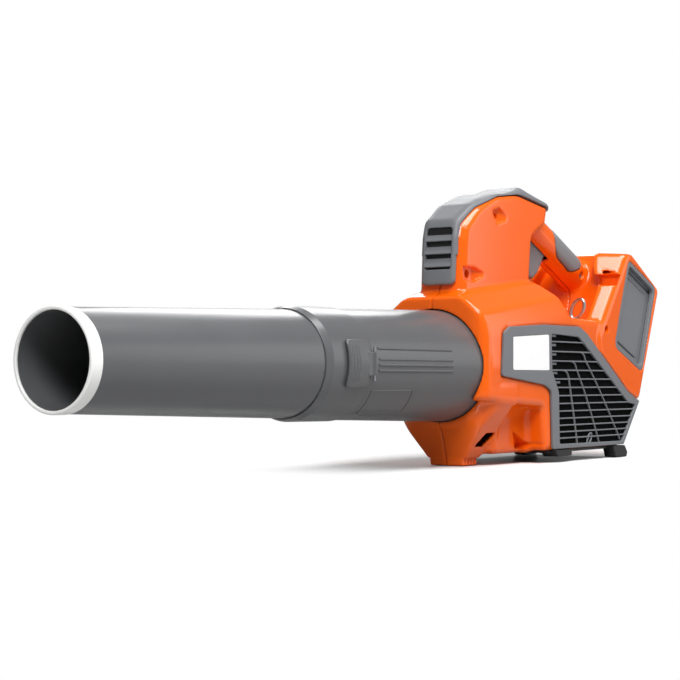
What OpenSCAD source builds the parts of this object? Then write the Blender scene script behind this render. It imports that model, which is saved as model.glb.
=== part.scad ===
// Handheld battery leaf blower, millimetres, X forward, Y left, Z up, floor at Z = 0.
// Outlines are points [s, h, r]: s behind the housing's front face, h above the air axis, r the corner radius.

/* [Air path] */
// Height of the air axis above the floor
axis_h = 100; // [100:0.5:106]
// Length of the nozzle in front of the collar
nozzle_l = 277; // [220:1:320]
// Bore radius at the mouth
mouth_r = 36.8; // [34:0.1:38]
// Wall of the nozzle
nozzle_wall = 2.3; // [2:0.1:2.6]
// Length of the pale ring on the mouth
ring_l = 12; // [9:0.5:16]
// Outside radius of the nozzle's straight tail
tail_r = 47.2; // [46:0.1:47.3]
// Length of the tail inside the outlet tube
tail_l = 110; // [100:1:125]
// Length of the outlet tube in front of the housing
outlet_l = 247; // [235:1:265]
// Outside radius of the outlet tube at the housing
outlet_r = 55; // [54.6:0.1:55.2]
// Length of the collar that guides the nozzle
collar_l = 66; // [60:1:80]

/* [Housing] */
// Width across the housing's sides
body_w = 126; // [126:1:134]
// Width of the tower
tower_w = 54; // [52:1:58]
// Wall of the housing
wall = 3; // [2.6:0.1:3.2]
// Width of the handle
handle_w = 35; // [34:0.5:38]
// Thickness of the handle
handle_t = 35; // [34:0.5:36]
// Radius of the harness eye
eye_r = 9; // [7:0.5:10]

/* [Intake] */
// Thickness of the grille's ribs
rib_t = 2.2; // [1.6:0.1:3]
// Number of level ribs
rib_count = 13; // [9:1:13]
// Thickness of the label plates
label_t = 0.8; // [0.5:0.1:1.2]

/* [Fan and motor] */
// Bore radius of the fan duct
duct_r = 51.5; // [51:0.1:51.6]
// Gap between the blade tips and the duct
tip_gap = 0.6; // [0.4:0.1:1.2]
// Number of fan blades
blade_count = 9; // [5:1:11]
// Number of guide vanes
vane_count = 7; // [5:1:9]
// Outside radius of the motor pod and the fan's hub
pod_r = 24.5; // [23.5:0.1:26]
// Radius of the motor shaft
shaft_r = 2.5; // [2:0.1:3]

/* [Battery] */
// Lean of the battery from upright, degrees
bat_tilt = 21; // [20:0.5:22]
// Width of the pack
bat_w = 113.6; // [110:0.2:113.8]
// Thickness of the pack
bat_t = 83; // [80:0.5:83.4]
// Height of the pack
bat_l = 116; // [110:1:118]
// Radius of a cell
cell_r = 9.2; // [8.8:0.1:9.3]

/* [Controls] */
// Width of the trigger
trigger_w = 14; // [10:0.5:15]
// Radius of the trigger's pin
pin_r = 2; // [1.5:0.1:2.5]
// Radius of a key
key_r = 6.5; // [5:0.1:7]
// Gap round sliding and lifting pieces
gap = 0.4; // [0.3:0.05:0.5]

/* [Fasteners] */
// Radius of a screw's shank
screw_r = 2; // [1.6:0.1:2.2]
// Radius of a screw's head
head_r = 3.8; // [3.4:0.1:4]

/* [Hidden] */
$fn = 96;
arc_steps = 5;
running = 0.05;
half_w = body_w / 2;
tower_half = tower_w / 2;
rear_s = 411;
rear_h = 92;
rear_round = 7;
rear_under = [356, -37];
rear_crest = [337, 129];
rear_reach = arc_mid(rear_under, [rear_s, rear_h], rear_crest, rear_round).x + rear_round;
total_l = nozzle_l + outlet_l + rear_reach;
face_x = total_l / 2 - outlet_l - nozzle_l;
floor_h = -axis_h;

// Side outlines of the housing
block_side = [[0, -34, 4], [124, -42, 6], [129, -87, 4], [312, -87, 4], concat(rear_under, 8),
    [340, 0, 0], [300, 50, 0], [188, 53, 16], [158, 92, 10], [17, 78, 8], [0, 67, 3]];
rear_side = [[258, 5, 0], [330, -30, 0], concat(rear_under, 8), [rear_s, rear_h, rear_round],
    concat(rear_crest, 6), [300, 131, 5], [246, 50, 4]];
tower_side = [[15, 60, 0], [160, 60, 0], [158, 94, 5], [163, 138, 10], [194, 154, 4], [199, 172, 4],
    [133, 180, 60], [89, 174, 40], [49, 159, 30], [24, 141, 8], [20, 128, 6]];
crown_side = [[9, 80, 3], [36, 80, 0], [36, 120, 0], [140, 150, 0], [196, 168, 0], [203, 170, 2],
    [205, 177, 5], [143, 189.6, 12], [118, 180.5, 14], [90, 177, 30], [65, 170.5, 30], [46, 163, 12], [20, 146, 8],
    [15, 128, 8]];
belly_side = [[52, -30, 0], [60, -86, 4], [68, -89, 4], [134, -89, 4], [138, -30, 0]];
leg_front_s = 17;
leg_half = half_w - 4;
leg_round = 26;
leg_side = [[leg_front_s, -20, 0], [leg_front_s, -56, 3], [30, -94, 2], [58, -94, 2], [63, -85, 3], [67, -36, 0],
    [67, -20, 0]];
leg_front = [[-22, -94, 2], [22, -94, 2], [28, -85, 3], [leg_half, -38, 0], [leg_half, -20, 0],
    [-leg_half, -20, 0], [-leg_half, -38, 0], [-28, -85, 3]];
leg_slot_side = [[33, -80, 1], [51, -81, 1], [60, -67, 1], [42, -67, 1]];
foot_top = -91;
foot_side = [[30, floor_h, 1], [58, floor_h, 1], [59, foot_top, 0], [29, foot_top, 0]];
foot_half = 19;
belly_half = 38;
barrel_r = 60;
barrel_front = 17;
barrel_rear = 133;
duct_rear = 128;

// Roof of the housing's shoulders, seen from the front at roof_s and rising to the rear
roof_s = 41;
roof_rise = 8;
roof_half = half_w + 0.1;
roof_front = [[-roof_half, -140, 0], [roof_half, -140, 0], [roof_half, 32, 20], [55, 56, 16], [30, 76, 8],
    [-30, 76, 8], [-55, 56, 16], [-roof_half, 32, 20]];
front_round = 18;
tower_round = 14;
cover_round = 22;
cover_t = 3;
strip_half = 19.5;
strip_from = 78;
louvre_half = 15;
louvre_from = 98;
louvre_gap = 9;
louvre_pitch = 13;
hump_half = 20;

// Saddle under the handle and the slant of the battery housing's front corners
saddle_side = [[200, 50, 0], [294, 50, 3], [306, 92, 3], [312, 108, 3], [321, 131, 0], [329, 150, 0], [200, 150, 0]];
saddle_half = 44;
saddle_neck = 28;
saddle_front = [[-saddle_half, 40, 0], [saddle_half, 40, 0], [saddle_half, 89, 3], [33, 112, 0], [saddle_neck, 131, 0],
    [saddle_neck, 150, 0], [-saddle_neck, 150, 0], [-saddle_neck, 131, 0], [-33, 112, 0], [-saddle_half, 89, 3]];
slant_point = [322, 126];
slant_turn = 33.3;
slant_lift = 33.3;

// Handle
handle_slope = 23;
handle_from = [182, 158.9];
handle_l = 146;
handle_round = 16;
handle_wall = 4.4;

// Outlet tube and nozzle
tail_gap = 0.3;
lip_l = 8;
collar_r = tail_r + 3.4;
tube_r = tail_r + 2.9;
outlet_end = 30;
flange_t = 3.5;
flange_r = barrel_r - wall - 0.3;
hole_r = outlet_r + 0.6;
mouth_s = -outlet_l - nozzle_l;
ring_r = mouth_r + 3;
ring_wall = 1.1;
ring_lip = 2;
rib_rows = [4, -6, -15];
rib_l = 122;
notch_pitch = 30;

// Latch tab on the left of the collar
tab_s = 27;
tab_l = 40;
tab_half = 21;
tab_pin_r = 1.2;
tab_pin_s = tab_s + tab_l;
tab_pin_y = collar_r + 2;

// Intake grille
frame_side = [[33, -10, 3], [122, -19, 8], [138, -25, 8], [141, -86, 3], [313, -86, 0], [355, -38, 0],
    [325, -27, 14], [221, 36, 16], [203, 43, 12], [120, 43, 30], [48, 39, 6], [37, 33, 4]];
vent_side = [[139, -4, 4], [154, -27, 6], [156, -81, 3], [309.5, -82, 2], [345, -41.5, 2], [326, -39.5, 6],
    [212, 26, 8], [200, 32, 6], [137, 34, 3]];
screen_edge = 1.2;
label_side = [[55, -4, 2], [132, -4, 2], [131, 33, 2], [55, 29, 2]];
rear_wall_side = [[313, -86, 0], [355, -38, 0], [352, -36, 0], [310, -84, 0]];
rear_cut_side = [[309.6, -86.5, 0], [330, -86.5, 0], [372, -37.5, 0], [352, -35.6, 0], [309.6, -83.6, 0]];
curved_ribs = [[[158, 0], [186, -30], [196, -81]], [[183, 8], [222, -25], [247, -81]],
    [[201, 18], [262, -25], [302, -78]]];
screen_t = 0.8;

// Level ribs: height of the first, spacing, and how the spacing narrows
rib_top = 26;
rib_pitch = 10.4;
rib_bend = 0.165;
rib_from = 130;
rib_to = 345;
rear_slots = 4;
rear_slot_s = [290, 380];
rear_slot_h = -79;
rear_slot_t = 5;
rear_slot_pitch = 10;

// Base: plate behind the belly, front lips and rear feet
base_top = -87;
base_t = 3;
base_margin = 6;
base_side = [[139, base_top - base_t, 0], [310, base_top - base_t, 0], [310, base_top, 0], [139, base_top, 0]];
lip_low = floor_h + 7;
lip_w = 18;
lip_side = [[138, lip_low, 2], [180, lip_low, 2], [180, base_top, 0], [128, base_top, 0]];
rear_foot_w = 13;
rear_foot_side = [[290, floor_h, 2], [319, floor_h, 2], [321, floor_h + 5, 2], [314, base_top, 2],
    [284, base_top, 0]];

// Battery bay, in a frame that leans with the pack: its origin is the top front edge of the bay
bay_s = 326;
bay_h = 124.5;
bay_t = bat_t + 2 * gap;
bay_w = bat_w + 2 * gap;
bay_l = bat_l + gap;
window_margin = 2;
window_l = 107;
cap_l = 8;
flank = 11;
pad_t = 3.5;
pad_travel = 2.5;
pad_l = 78;
pad_w = 58;
pad_pin_r = 2;
cell_rows = 5;
cell_cols = 4;
cell_l = 65;
blade_x = -34;
blade_y = 12;
blade_t = 1.2;
blade_w = 12;
blade_l = 10;
block_l = 12;

// Controls
trigger_side = [[201, 95.5, 3], [213, 102.5, 6], [222, 113, 8], [228, 121, 2], [241, 124, 1.5], [232, 127.5, 2],
    [205, 146, 6], [195, 160, 5], [180, 157, 4], [178, 143, 6], [184, 130, 8], [190, 113, 10], [194, 98, 3]];
trigger_slot_side = [[172, 128, 0], [250, 92, 0], [250, 122, 0], [196, 164, 0], [176, 162, 0]];
trigger_pivot = [187, 152];
pin_end = handle_w / 2 - handle_wall + 1.5;
spring_wire = 0.45;
spring_turns = 4;
spring_pitch = 1.1;
spring_r = pin_r + 1.4;
spring_from = trigger_w / 2 + 0.8;
spring_end = spring_from + spring_turns * spring_pitch + 1;
pad_from = 48;
pad_to = 118;
pad_thick = 2.4;
keypad_at = [174, 183.4];
keypad_slope = 11.1;
keypad_size = [46, 34, 1.6];
keypad_corner = 5;
key_reach = 11;
key_rise = 1.6;
key_flange = 1.2;

// Screws: [s, h] of the axis, all driven from the left onto a seat near the middle
screw_spots = [[36, 92], [90, 154], [300, 105], [113, -80], [269, 42]];
screw_sides = [tower_half - 1, tower_half - 1, handle_w / 2 - 1, belly_half - 1, half_w - 1];
boss_r = 5.6;
seat_y = 12;
head_t = 3;
shank_l = 22;

// Fan and motor stations
damper_spots = [36, 112];
damper_l = 8;
duct_wall = 2.5;
bell_flare = 5.5;
bell_l = 11;
bell_lip = 2.5;
bell_edge = 1.9;
pod_front = 45;
pod_rear = 96;
pod_wall = 2;
vane_from = 62;
vane_to = 84;
fan_from = 100;
fan_to = 121;
bearing_r = 8;
bearing_l = 5;
stator_from = 54;
stator_to = 86;
rotor_r = 12.5;

// Control board and leads
board_side = [[46, 98, 2], [150, 98, 2], [150, 144, 2], [46, 144, 2]];
board_y = -9;
board_t = 1.6;
board_studs = [[58, 104], [140, 104], [58, 138], [140, 138]];
sink_box = [60, 34, 12];
lead_r = 1.5;
lead_spots = [62, 68, 74];
lead_route = [[284.6, 12, -6], [274, 12, 8], [262, 12, 24], [246, 8, 36], [200, 0, 38], [176, -6, 46], [160, -8.2, 70],
    [150, -8.2, 84], [146, -8.2, 98]];
lead_route_two = [[284.6, -12, -6], [272, -12, 4], [256, -12, 18], [238, -10, 28], [196, -8, 30], [170, -8.2, 38],
    [154, -8.2, 62], [142, -8.2, 80], [138, -8.2, 98]];
lead_sides = 8;

// Strap eye
eye_wire = 1.9;
eye_at = [247, 38, 50.8];
eye_stem = 9;

// Colours
orange = "#e8501e";
grey = "#6a6c70";
dark = "#4a4b4e";
black = "#1c1c1e";
pale = "#f2f2f2";
steel = "#b8bbc0";

// Outline helpers
function unit(v) = v / norm(v);
function wrapped(p, i) = p[(i + len(p)) % len(p)];
function spot(q) = [q[0], q[1]];

// Moves every edge of a counterclockwise outline inward by d
function inset(p, d) = [for (i = [0 : len(p) - 1])
    let (u = unit(spot(p[i]) - spot(wrapped(p, i - 1))), v = unit(spot(wrapped(p, i + 1)) - spot(p[i])))
    let (q = spot(p[i]) + d * [-u.y - v.y, u.x + v.x] / (1 + u * v))
    [q.x, q.y, max(p[i][2] - d, 0)]];

// Centre of the arc that replaces corner b between a and c, and the arc's points
function half_angle(a, b, c) = acos(unit(a - b) * unit(c - b)) / 2;
function arc_mid(a, b, c, r) = b + unit(unit(a - b) + unit(c - b)) * r / sin(half_angle(a, b, c));
function corner(a, b, c, r) =
    let (u = unit(a - b), v = unit(c - b), half = half_angle(a, b, c), mid = arc_mid(a, b, c, r))
    let (from = unit(b + u * r / tan(half) - mid), to = unit(b + v * r / tan(half) - mid), turn = acos(from * to))
    [for (k = [0 : arc_steps]) let (t = k / arc_steps)
        mid + r * (sin((1 - t) * turn) * from + sin(t * turn) * to) / sin(turn)];
function rounded(p) = [for (i = [0 : len(p) - 1])
    each (p[i][2] > 0
        ? corner(spot(wrapped(p, i - 1)), spot(p[i]), spot(wrapped(p, i + 1)), p[i][2])
        : [spot(p[i])])];
function frame_outline(w, t, r) = [[-w, -t, r], [w, -t, r], [w, t, r], [-w, t, r]];

// Point on a curve through two ends with one guide point, and its sideways direction
function curve(c, t) = (1 - t) * (1 - t) * c[0] + 2 * t * (1 - t) * c[1] + t * t * c[2];
function sideways(c, t) = let (d = unit((1 - t) * (c[1] - c[0]) + t * (c[2] - c[1]))) [-d.y, d.x];

// Placement helpers
module place() { translate([face_x, 0, axis_h]) children(); }

// Prism of a side outline between two widths
module side_plate(p, from, to) {
    translate([0, to, 0]) rotate([90, 0, 0]) linear_extrude(to - from)
        polygon([for (q = rounded(p)) [-q.x, q.y]]);
}

// Prism of a front outline between two stations
module front_plate(p, from, to) {
    translate([-to, 0, 0]) rotate([90, 0, 90]) linear_extrude(to - from) polygon(rounded(p));
}

// Cylinder on the air axis between two stations
module drum(from, to, r) { translate([-to, 0, 0]) rotate([0, 90, 0]) cylinder(h = to - from, r = r); }

// Ring on the air axis
module ring(from, to, inner, outer) {
    difference() {
        drum(from, to, outer);
        drum(from - 1, to + 1, inner);
    }
}

// Solid turned about the air axis from points [station, radius]
module turned(p) { rotate([0, -90, 0]) rotate_extrude() polygon([for (q = p) [q[1], q[0]]]); }

// Cylinder across the machine at [s, h]
module cross_rod(at, r, from, to) {
    translate([-at[0], to, at[1]]) rotate([90, 0, 0]) cylinder(h = to - from, r = r, $fn = 48);
}

// Box from [s, y, h] to [s, y, h]
module block_between(a, b) { translate([-b[0], a[1], a[2]]) cube([b[0] - a[0], b[1] - a[1], b[2] - a[2]]); }

module mirrored(flip) { mirror([0, flip ? 1 : 0, 0]) children(); }
module in_bay() { translate([-bay_s, 0, bay_h]) rotate([0, -bat_tilt, 0]) children(); }
module on_handle() {
    translate([-handle_from[0], 0, handle_from[1]]) rotate([0, -90 - handle_slope, 0]) children();
}
module on_keypad() { translate([-keypad_at[0], 0, keypad_at[1]]) rotate([0, -keypad_slope, 0]) children(); }

// Tube swept along points, with a ring at each
module swept(path, r, sides) {
    last = len(path) - 1;
    function ahead(i) = unit(path[min(i + 1, last)] - path[max(i - 1, 0)]);
    function across(i) = unit(cross(ahead(i), abs(ahead(i).y) > 0.8 ? [1, 0, 0] : [0, 1, 0]));
    rings = [for (i = [0 : last], k = [0 : sides - 1])
        let (a = across(i), b = cross(ahead(i), a), turn = 360 * k / sides)
        path[i] + r * (cos(turn) * a + sin(turn) * b)];
    walls = [for (i = [0 : last - 1], k = [0 : sides - 1])
        [i * sides + k, i * sides + (k + 1) % sides, (i + 1) * sides + (k + 1) % sides, (i + 1) * sides + k]];
    first_end = [for (k = [sides - 1 : -1 : 0]) k];
    last_end = [for (k = [0 : sides - 1]) last * sides + k];
    polyhedron(rings, concat([first_end], walls, [last_end]));
}

// Housing forms, each drawn d inside its outer surface

module block(d) {
    intersection() {
        side_plate(inset(block_side, d), d - half_w, half_w - d);
        translate([-roof_s, 0, 0]) rotate([0, roof_rise, 0]) translate([roof_s, 0, 0])
            front_plate(inset(roof_front, d), -60, 460);
        block_plan(half_w, front_round, d, 0, 460);
    }
}

// Upright prism whose front corners are rounded in plan
module block_plan(half, r, d, front, rear) {
    p = inset([[front, -half, r], [rear, -half, 0], [rear, half, 0], [front, half, r]], d);
    translate([0, 0, -150]) linear_extrude(400) polygon([for (q = rounded(p)) [-q.x, q.y]]);
}

module tower(d) {
    intersection() {
        side_plate(inset(tower_side, d), d - tower_half, tower_half - d);
        block_plan(tower_half, tower_round, d, 15, 260);
    }
}

module handle(d) {
    on_handle() translate([0, 0, d]) linear_extrude(handle_l - 2 * d)
        polygon(rounded(inset(frame_outline(handle_t / 2, handle_w / 2, handle_round), d)));
}

module rear_block() {
    difference() {
        side_plate(rear_side, -half_w, half_w);
        intersection() {
            side_plate(saddle_side, -saddle_half, saddle_half);
            front_plate(saddle_front, 190, 335);
        }
        for (flip = [false, true]) mirrored(flip) front_slant();
    }
}

// Half space in front of the slanted front corner of the battery housing
module front_slant() {
    translate([-slant_point[0], half_w, slant_point[1]]) rotate([0, -slant_lift, slant_turn])
        translate([0, -200, -200]) cube([200, 400, 400]);
}

module belly(d) { side_plate(inset(belly_side, d), d - belly_half, belly_half - d); }

module leg(d) {
    intersection() {
        side_plate(inset(leg_side, d), -half_w, half_w);
        front_plate(inset(leg_front, d), 0, 100);
        block_plan(leg_half, leg_round, d, leg_front_s, 120);
    }
}

// Hand slot through each flank of the leg
module leg_slots() {
    for (flip = [false, true]) mirrored(flip) side_plate(leg_slot_side, 20, half_w);
}

module bay_box(d) {
    in_bay() translate([-bay_t - d, -bay_w / 2 - d, -bay_l - d])
        cube([bay_t + 2 * d, bay_w + 2 * d, bay_l + d + 60]);
}

module bay_windows() {
    in_bay() translate([-bay_t + window_margin, -100, -window_l])
        cube([bay_t - 2 * window_margin, 200, window_l - window_margin]);
}

module housing_form() {
    block(0);
    drum(barrel_front, barrel_rear, barrel_r);
    tower(0);
    handle(0);
    rear_block();
    belly(0);
    leg(0);
    side_plate(foot_side, -foot_half, foot_half);
}

module housing_void() {
    difference() {
        union() {
            block(wall);
            belly(wall);
        }
        bay_box(wall);
    }
    drum(barrel_front + wall, barrel_rear + wall, barrel_r - wall);
    tower(wall);
    handle(handle_wall);
    leg(wall);
    bay_box(0);
    bay_windows();
    drum(-1, barrel_front + wall + 1, hole_r);
    front_vent();
    trigger_slot();
    grille_space();
    pad_space(0);
    floor_slots();
    leg_slots();
}

module front_vent() { block_between([5, -11, 100], [30, 11, 134]); }
module trigger_slot() {
    side_plate(trigger_slot_side, -trigger_w / 2 - gap, trigger_w / 2 + gap);
}
module grille_space() {
    for (flip = [false, true]) mirrored(flip)
        side_plate(inset(frame_side, -gap), half_w - wall - gap, half_w + 5);
    side_plate(rear_cut_side, -half_w - 5, half_w + 5);
}

// Slots in the bay's floor for the terminal blades
module floor_slots() {
    in_bay() for (side = [-1, 1])
        translate([blade_x - blade_w / 2 - gap, side * blade_y - blade_t / 2 - gap, -bay_l - wall - 1])
            cube([blade_w + 2 * gap, blade_t + 2 * gap, wall + 2]);
}

module bosses(left) {
    for (i = [0 : len(screw_spots) - 1])
        cross_rod(screw_spots[i], boss_r, left ? 0 : -screw_sides[i], left ? screw_sides[i] : 0);
}

// Room for the screws: head wells from the left, shank holes on into the right
module screw_room() {
    for (at = screw_spots) {
        cross_rod(at, head_r + gap, seat_y, 100);
        cross_rod(at, screw_r + 0.2, seat_y - shank_l - 0.5, seat_y + 1);
    }
}

module housing_half(left) {
    side = left ? 1 : -1;
    difference() {
        intersection() {
            union() {
                difference() {
                    housing_form();
                    housing_void();
                }
                bosses(left);
                if (!left) for (at = board_studs) cross_rod(at, 3.5, -tower_half + 1, board_y);
                if (left) cross_socket();
            }
            translate([-600, left ? 0 : -200, -200]) cube([800, 200, 500]);
        }
        screw_room();
        eye_socket();
        cross_rod(trigger_pivot, pin_r + running, -pin_end - 0.1, pin_end + 0.1);
        if (left) cross_rod(trigger_pivot, spring_r + spring_wire + 0.5, trigger_w / 2, spring_end);
    }
}

// Socket under the saddle for the strap eye
module cross_socket() {
    translate([-eye_at[0], eye_at[1], eye_at[2] - eye_stem - 3]) cylinder(h = eye_stem + 2, r = 5, $fn = 48);
}
module eye_socket() {
    translate([-eye_at[0], eye_at[1], eye_at[2] - eye_stem]) cylinder(h = 40, r = eye_wire + running, $fn = 48);
}

module left_housing() { color(orange) housing_half(true); }
module right_housing() { color(orange) housing_half(false); }

// Grey cap of the tower: a thin edge, a hollow hump along the middle and a louvred strip down the front
module top_cover() {
    color(grey) difference() {
        intersection() {
            side_plate(crown_side, -tower_half, tower_half);
            union() {
                block_between([0, -strip_half, strip_from], [60, strip_half, 146]);
                block_between([0, -hump_half, 140], [240, hump_half, 220]);
                intersection() {
                    side_plate(inset(tower_side, -cover_t), -tower_half, tower_half);
                    block_between([0, -tower_half, 140], [240, tower_half, 220]);
                }
            }
            block_plan(tower_half, cover_round, 0, 8, 260);
        }
        side_plate(inset(tower_side, -gap), -40, 40);
        handle(-gap);
        intersection() {
            side_plate(inset(crown_side, wall), wall - hump_half, hump_half - wall);
            block_between([30, -40, 150], [230, 40, 220]);
        }
        louvre_gaps();
        on_keypad() keypad_recess(gap);
        on_keypad() for (side = [-1, 1]) translate([side * key_reach, 0, -8]) cylinder(h = 12, r = key_r + 2);
    }
}

// Three level gaps through the front strip
module louvre_gaps() {
    for (i = [0 : 2]) let (low = louvre_from + i * louvre_pitch)
        block_between([0, -louvre_half, low], [40, louvre_half, low + louvre_gap]);
}

module keypad_recess(g) {
    translate([0, 0, -keypad_size.z]) linear_extrude(keypad_size.z + 6)
        polygon(rounded(frame_outline(keypad_size.x / 2 + g, keypad_size.y / 2 + g, keypad_corner)));
}

module keypad_panel() {
    color(black) on_keypad() difference() {
        translate([0, 0, -keypad_size.z]) linear_extrude(keypad_size.z)
            polygon(rounded(frame_outline(keypad_size.x / 2, keypad_size.y / 2, keypad_corner)));
        for (side = [-1, 1]) translate([side * key_reach, 0, -3]) cylinder(h = 6, r = key_r + gap);
    }
}

// Key with a flange under the panel
module key(side) {
    on_keypad() translate([side * key_reach, 0, 0]) {
        translate([0, 0, -keypad_size.z - 0.3]) cylinder(h = keypad_size.z + 0.3 + key_rise, r = key_r);
        translate([0, 0, -keypad_size.z - 0.3 - key_flange]) cylinder(h = key_flange, r = key_r + 1);
    }
}
module power_button() { color("#2f9e57") key(1); }
module boost_button() { color(grey) key(-1); }

// Soft grip let into the top of the handle
module pad_space(g) {
    on_handle() difference() {
        translate([-2, 0, pad_from - g]) linear_extrude(pad_to - pad_from + 2 * g)
            polygon(rounded(frame_outline(handle_t / 2 + 10, handle_w / 2 + 10, 0)));
        translate([0, 0, pad_from - 5]) linear_extrude(pad_to - pad_from + 10)
            polygon(rounded(inset(frame_outline(handle_t / 2, handle_w / 2, handle_round), pad_thick)));
        translate([-handle_t - 6 - g, -50, 0]) cube([handle_t, 100, 200]);
    }
}
module grip_pad() {
    color(grey) intersection() {
        pad_space(-gap);
        on_handle() translate([0, 0, pad_from]) linear_extrude(pad_to - pad_from)
            polygon(rounded(inset(frame_outline(handle_t / 2, handle_w / 2, handle_round), -0.6)));
    }
}

module trigger() {
    color(grey) difference() {
        side_plate(trigger_side, -trigger_w / 2, trigger_w / 2);
        cross_rod(trigger_pivot, pin_r + running, -20, 20);
    }
}
module trigger_pin() {
    color(steel) cross_rod(trigger_pivot, pin_r, -pin_end, pin_end);
}

// Torsion coil beside the trigger
module trigger_spring() {
    steps = 10;
    color(steel) swept([for (i = [0 : spring_turns * steps]) let (turn = 360 * i / steps)
        [spring_r * cos(turn) - trigger_pivot[0], spring_from + i / steps * spring_pitch,
            trigger_pivot[1] + spring_r * sin(turn)]], spring_wire, 6);
}
// Switch under the handle's roof, 0.3 clear of its rounded corners
module trigger_switch() {
    low = 7;
    half = 5;
    room = handle_round - handle_wall - 0.3;
    top = handle_t / 2 - handle_round + sqrt(pow(room, 2) - pow(half - handle_w / 2 + handle_round, 2));
    color(black) on_handle() translate([low, -half, 46]) cube([top - low, 2 * half, 16]);
}

// Frame, ribs and rear wall of one intake grille, drawn for the left
module grille() {
    inner = half_w - wall;
    difference() {
        union() {
            difference() {
                side_plate(frame_side, inner, half_w);
                side_plate(vent_side, inner - 1, half_w + 1);
            }
            intersection() {
                side_plate(inset(vent_side, -1), inner, half_w);
                grille_ribs();
            }
            side_plate(rear_wall_side, gap / 2, half_w);
        }
        side_plate(inset(label_side, -gap / 2), half_w - label_t, half_w + 1);
        for (row = [0 : rear_slots - 1]) let (low = rear_slot_h + row * rear_slot_pitch)
            block_between([rear_slot_s[0], 6, low], [rear_slot_s[1], half_w - 8, low + rear_slot_t]);
    }
}
function rib_height(i) = rib_top - rib_pitch * i + rib_bend * i * i;
module grille_ribs() {
    inner = half_w - wall + 0.6;
    for (i = [0 : rib_count - 1])
        block_between([rib_from, inner, rib_height(i) - rib_t / 2], [rib_to, half_w - 0.4, rib_height(i) + rib_t / 2]);
    for (c = curved_ribs) curved_rib(c, inner);
}
module curved_rib(c, inner) {
    steps = 6;
    p = concat([for (i = [0 : steps]) curve(c, i / steps) - rib_t / 2 * sideways(c, i / steps)],
        [for (i = [steps : -1 : 0]) curve(c, i / steps) + rib_t / 2 * sideways(c, i / steps)]);
    side_plate([for (q = p) [q.x, q.y, 0]], inner, half_w - 0.4);
}
module left_intake_grille() { color(grey) grille(); }
module right_intake_grille() { color(grey) mirrored(true) grille(); }

module screen() { side_plate(inset(vent_side, -screen_edge), half_w - wall - screen_t, half_w - wall); }
module left_intake_screen() { color(black) screen(); }
module right_intake_screen() { color(black) mirrored(true) screen(); }

module label_plate() { side_plate(label_side, half_w - label_t, half_w); }
module left_label_plate() { color(pale) label_plate(); }
module right_label_plate() { color(pale) mirrored(true) label_plate(); }

// Black base with two front lips clear of the floor and two rear feet
module base_skid() {
    color(black) {
        side_plate(base_side, base_margin - half_w, half_w - base_margin);
        for (flip = [false, true]) mirrored(flip) {
            side_plate(lip_side, half_w - lip_w, half_w);
            side_plate(rear_foot_side, half_w - rear_foot_w, half_w + 1);
        }
    }
}

// Wire eye on a stem
module strap_eyelet() {
    color(steel) translate([-eye_at[0], eye_at[1], eye_at[2]]) {
        translate([0, 0, eye_r + eye_wire + 1]) rotate([90, 0, 90]) rotate_extrude() translate([eye_r, 0])
            circle(eye_wire, $fn = 32);
        translate([0, 0, -eye_stem + 0.1]) cylinder(h = eye_stem + 2.4, r = eye_wire, $fn = 48);
    }
}

module housing_screws() {
    color(steel) for (at = screw_spots) difference() {
        union() {
            cross_rod(at, head_r, seat_y, seat_y + head_t);
            cross_rod(at, screw_r, seat_y - shank_l, seat_y + 1);
        }
        translate([-at[0], seat_y + head_t + 1, at[1]]) rotate([90, 0, 0]) cylinder(h = 2.6, r = 2, $fn = 6);
    }
}

// Fixed dark tube: collar, three ribs, raised frame and the lugs of the latch
module outlet_tube() {
    front = -outlet_l;
    color(dark) difference() {
        union() {
            turned([[front, tail_r + tail_gap], [front, tail_r + 1.1], [front + lip_l, collar_r],
                [front + collar_l, collar_r + 0.6], [front + collar_l + 3, tube_r], [0, outlet_r],
                [barrel_front + wall + 0.3, outlet_r], [barrel_front + wall + 0.3, flange_r],
                [barrel_front + wall + 0.3 + flange_t, flange_r],
                [barrel_front + wall + 0.3 + flange_t, outlet_r - 0.8],
                [outlet_end, outlet_r - 0.8], [outlet_end, duct_r], [front + tail_l + 14, tail_r + tail_gap]]);
            intersection() {
                for (row = rib_rows) block_between([front + 78, 30, row - 1.4], [front + 78 + rib_l, 70, row + 1.4]);
                turned([[front + 70, tube_r - 1], [front + 70, tube_r + 1], [0, outlet_r + 1], [0, outlet_r - 1]]);
            }
            for (side = [-1, 1]) latch_lug(side);
        }
        cross_upright(tab_pin_s + front, tab_pin_y, tab_pin_r + running, tab_half + 8);
    }
}

// Rod parallel to Z at a station and a width, centred on the air axis
module cross_upright(s, y, r, half) { translate([-s, y, -half]) cylinder(h = 2 * half, r = r, $fn = 48); }

module latch_lug(side) {
    s = tab_pin_s - outlet_l;
    translate([-s - 3, collar_r - 3.6, side > 0 ? 11 : -15]) cube([6, 7.6, 4]);
}

// Tab over the collar, hinged at its rear
module tube_latch() {
    front = tab_s - outlet_l;
    color(dark) difference() {
        union() {
            intersection() {
                turned([[front, collar_r + 0.9], [front, collar_r + 4], [front + tab_l - 4, collar_r + 2.2],
                    [front + tab_l - 4, collar_r + 0.9]]);
                block_between([front - 5, 0, -tab_half], [front + tab_l, 80, tab_half]);
            }
            block_between([front + tab_l - 9, collar_r + 0.9, -10.6], [front + tab_l, collar_r + 2.2, 10.6]);
            cross_upright(tab_pin_s - outlet_l, tab_pin_y, 2.2, 10.6);
        }
        cross_upright(tab_pin_s - outlet_l, tab_pin_y, tab_pin_r + running, 20);
        ring(front + tab_l - 20, front + tab_l + 10, 10, collar_r + 0.9);
    }
}
module latch_pin() { color(steel) cross_upright(tab_pin_s - outlet_l, tab_pin_y, tab_pin_r, 15); }

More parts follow.
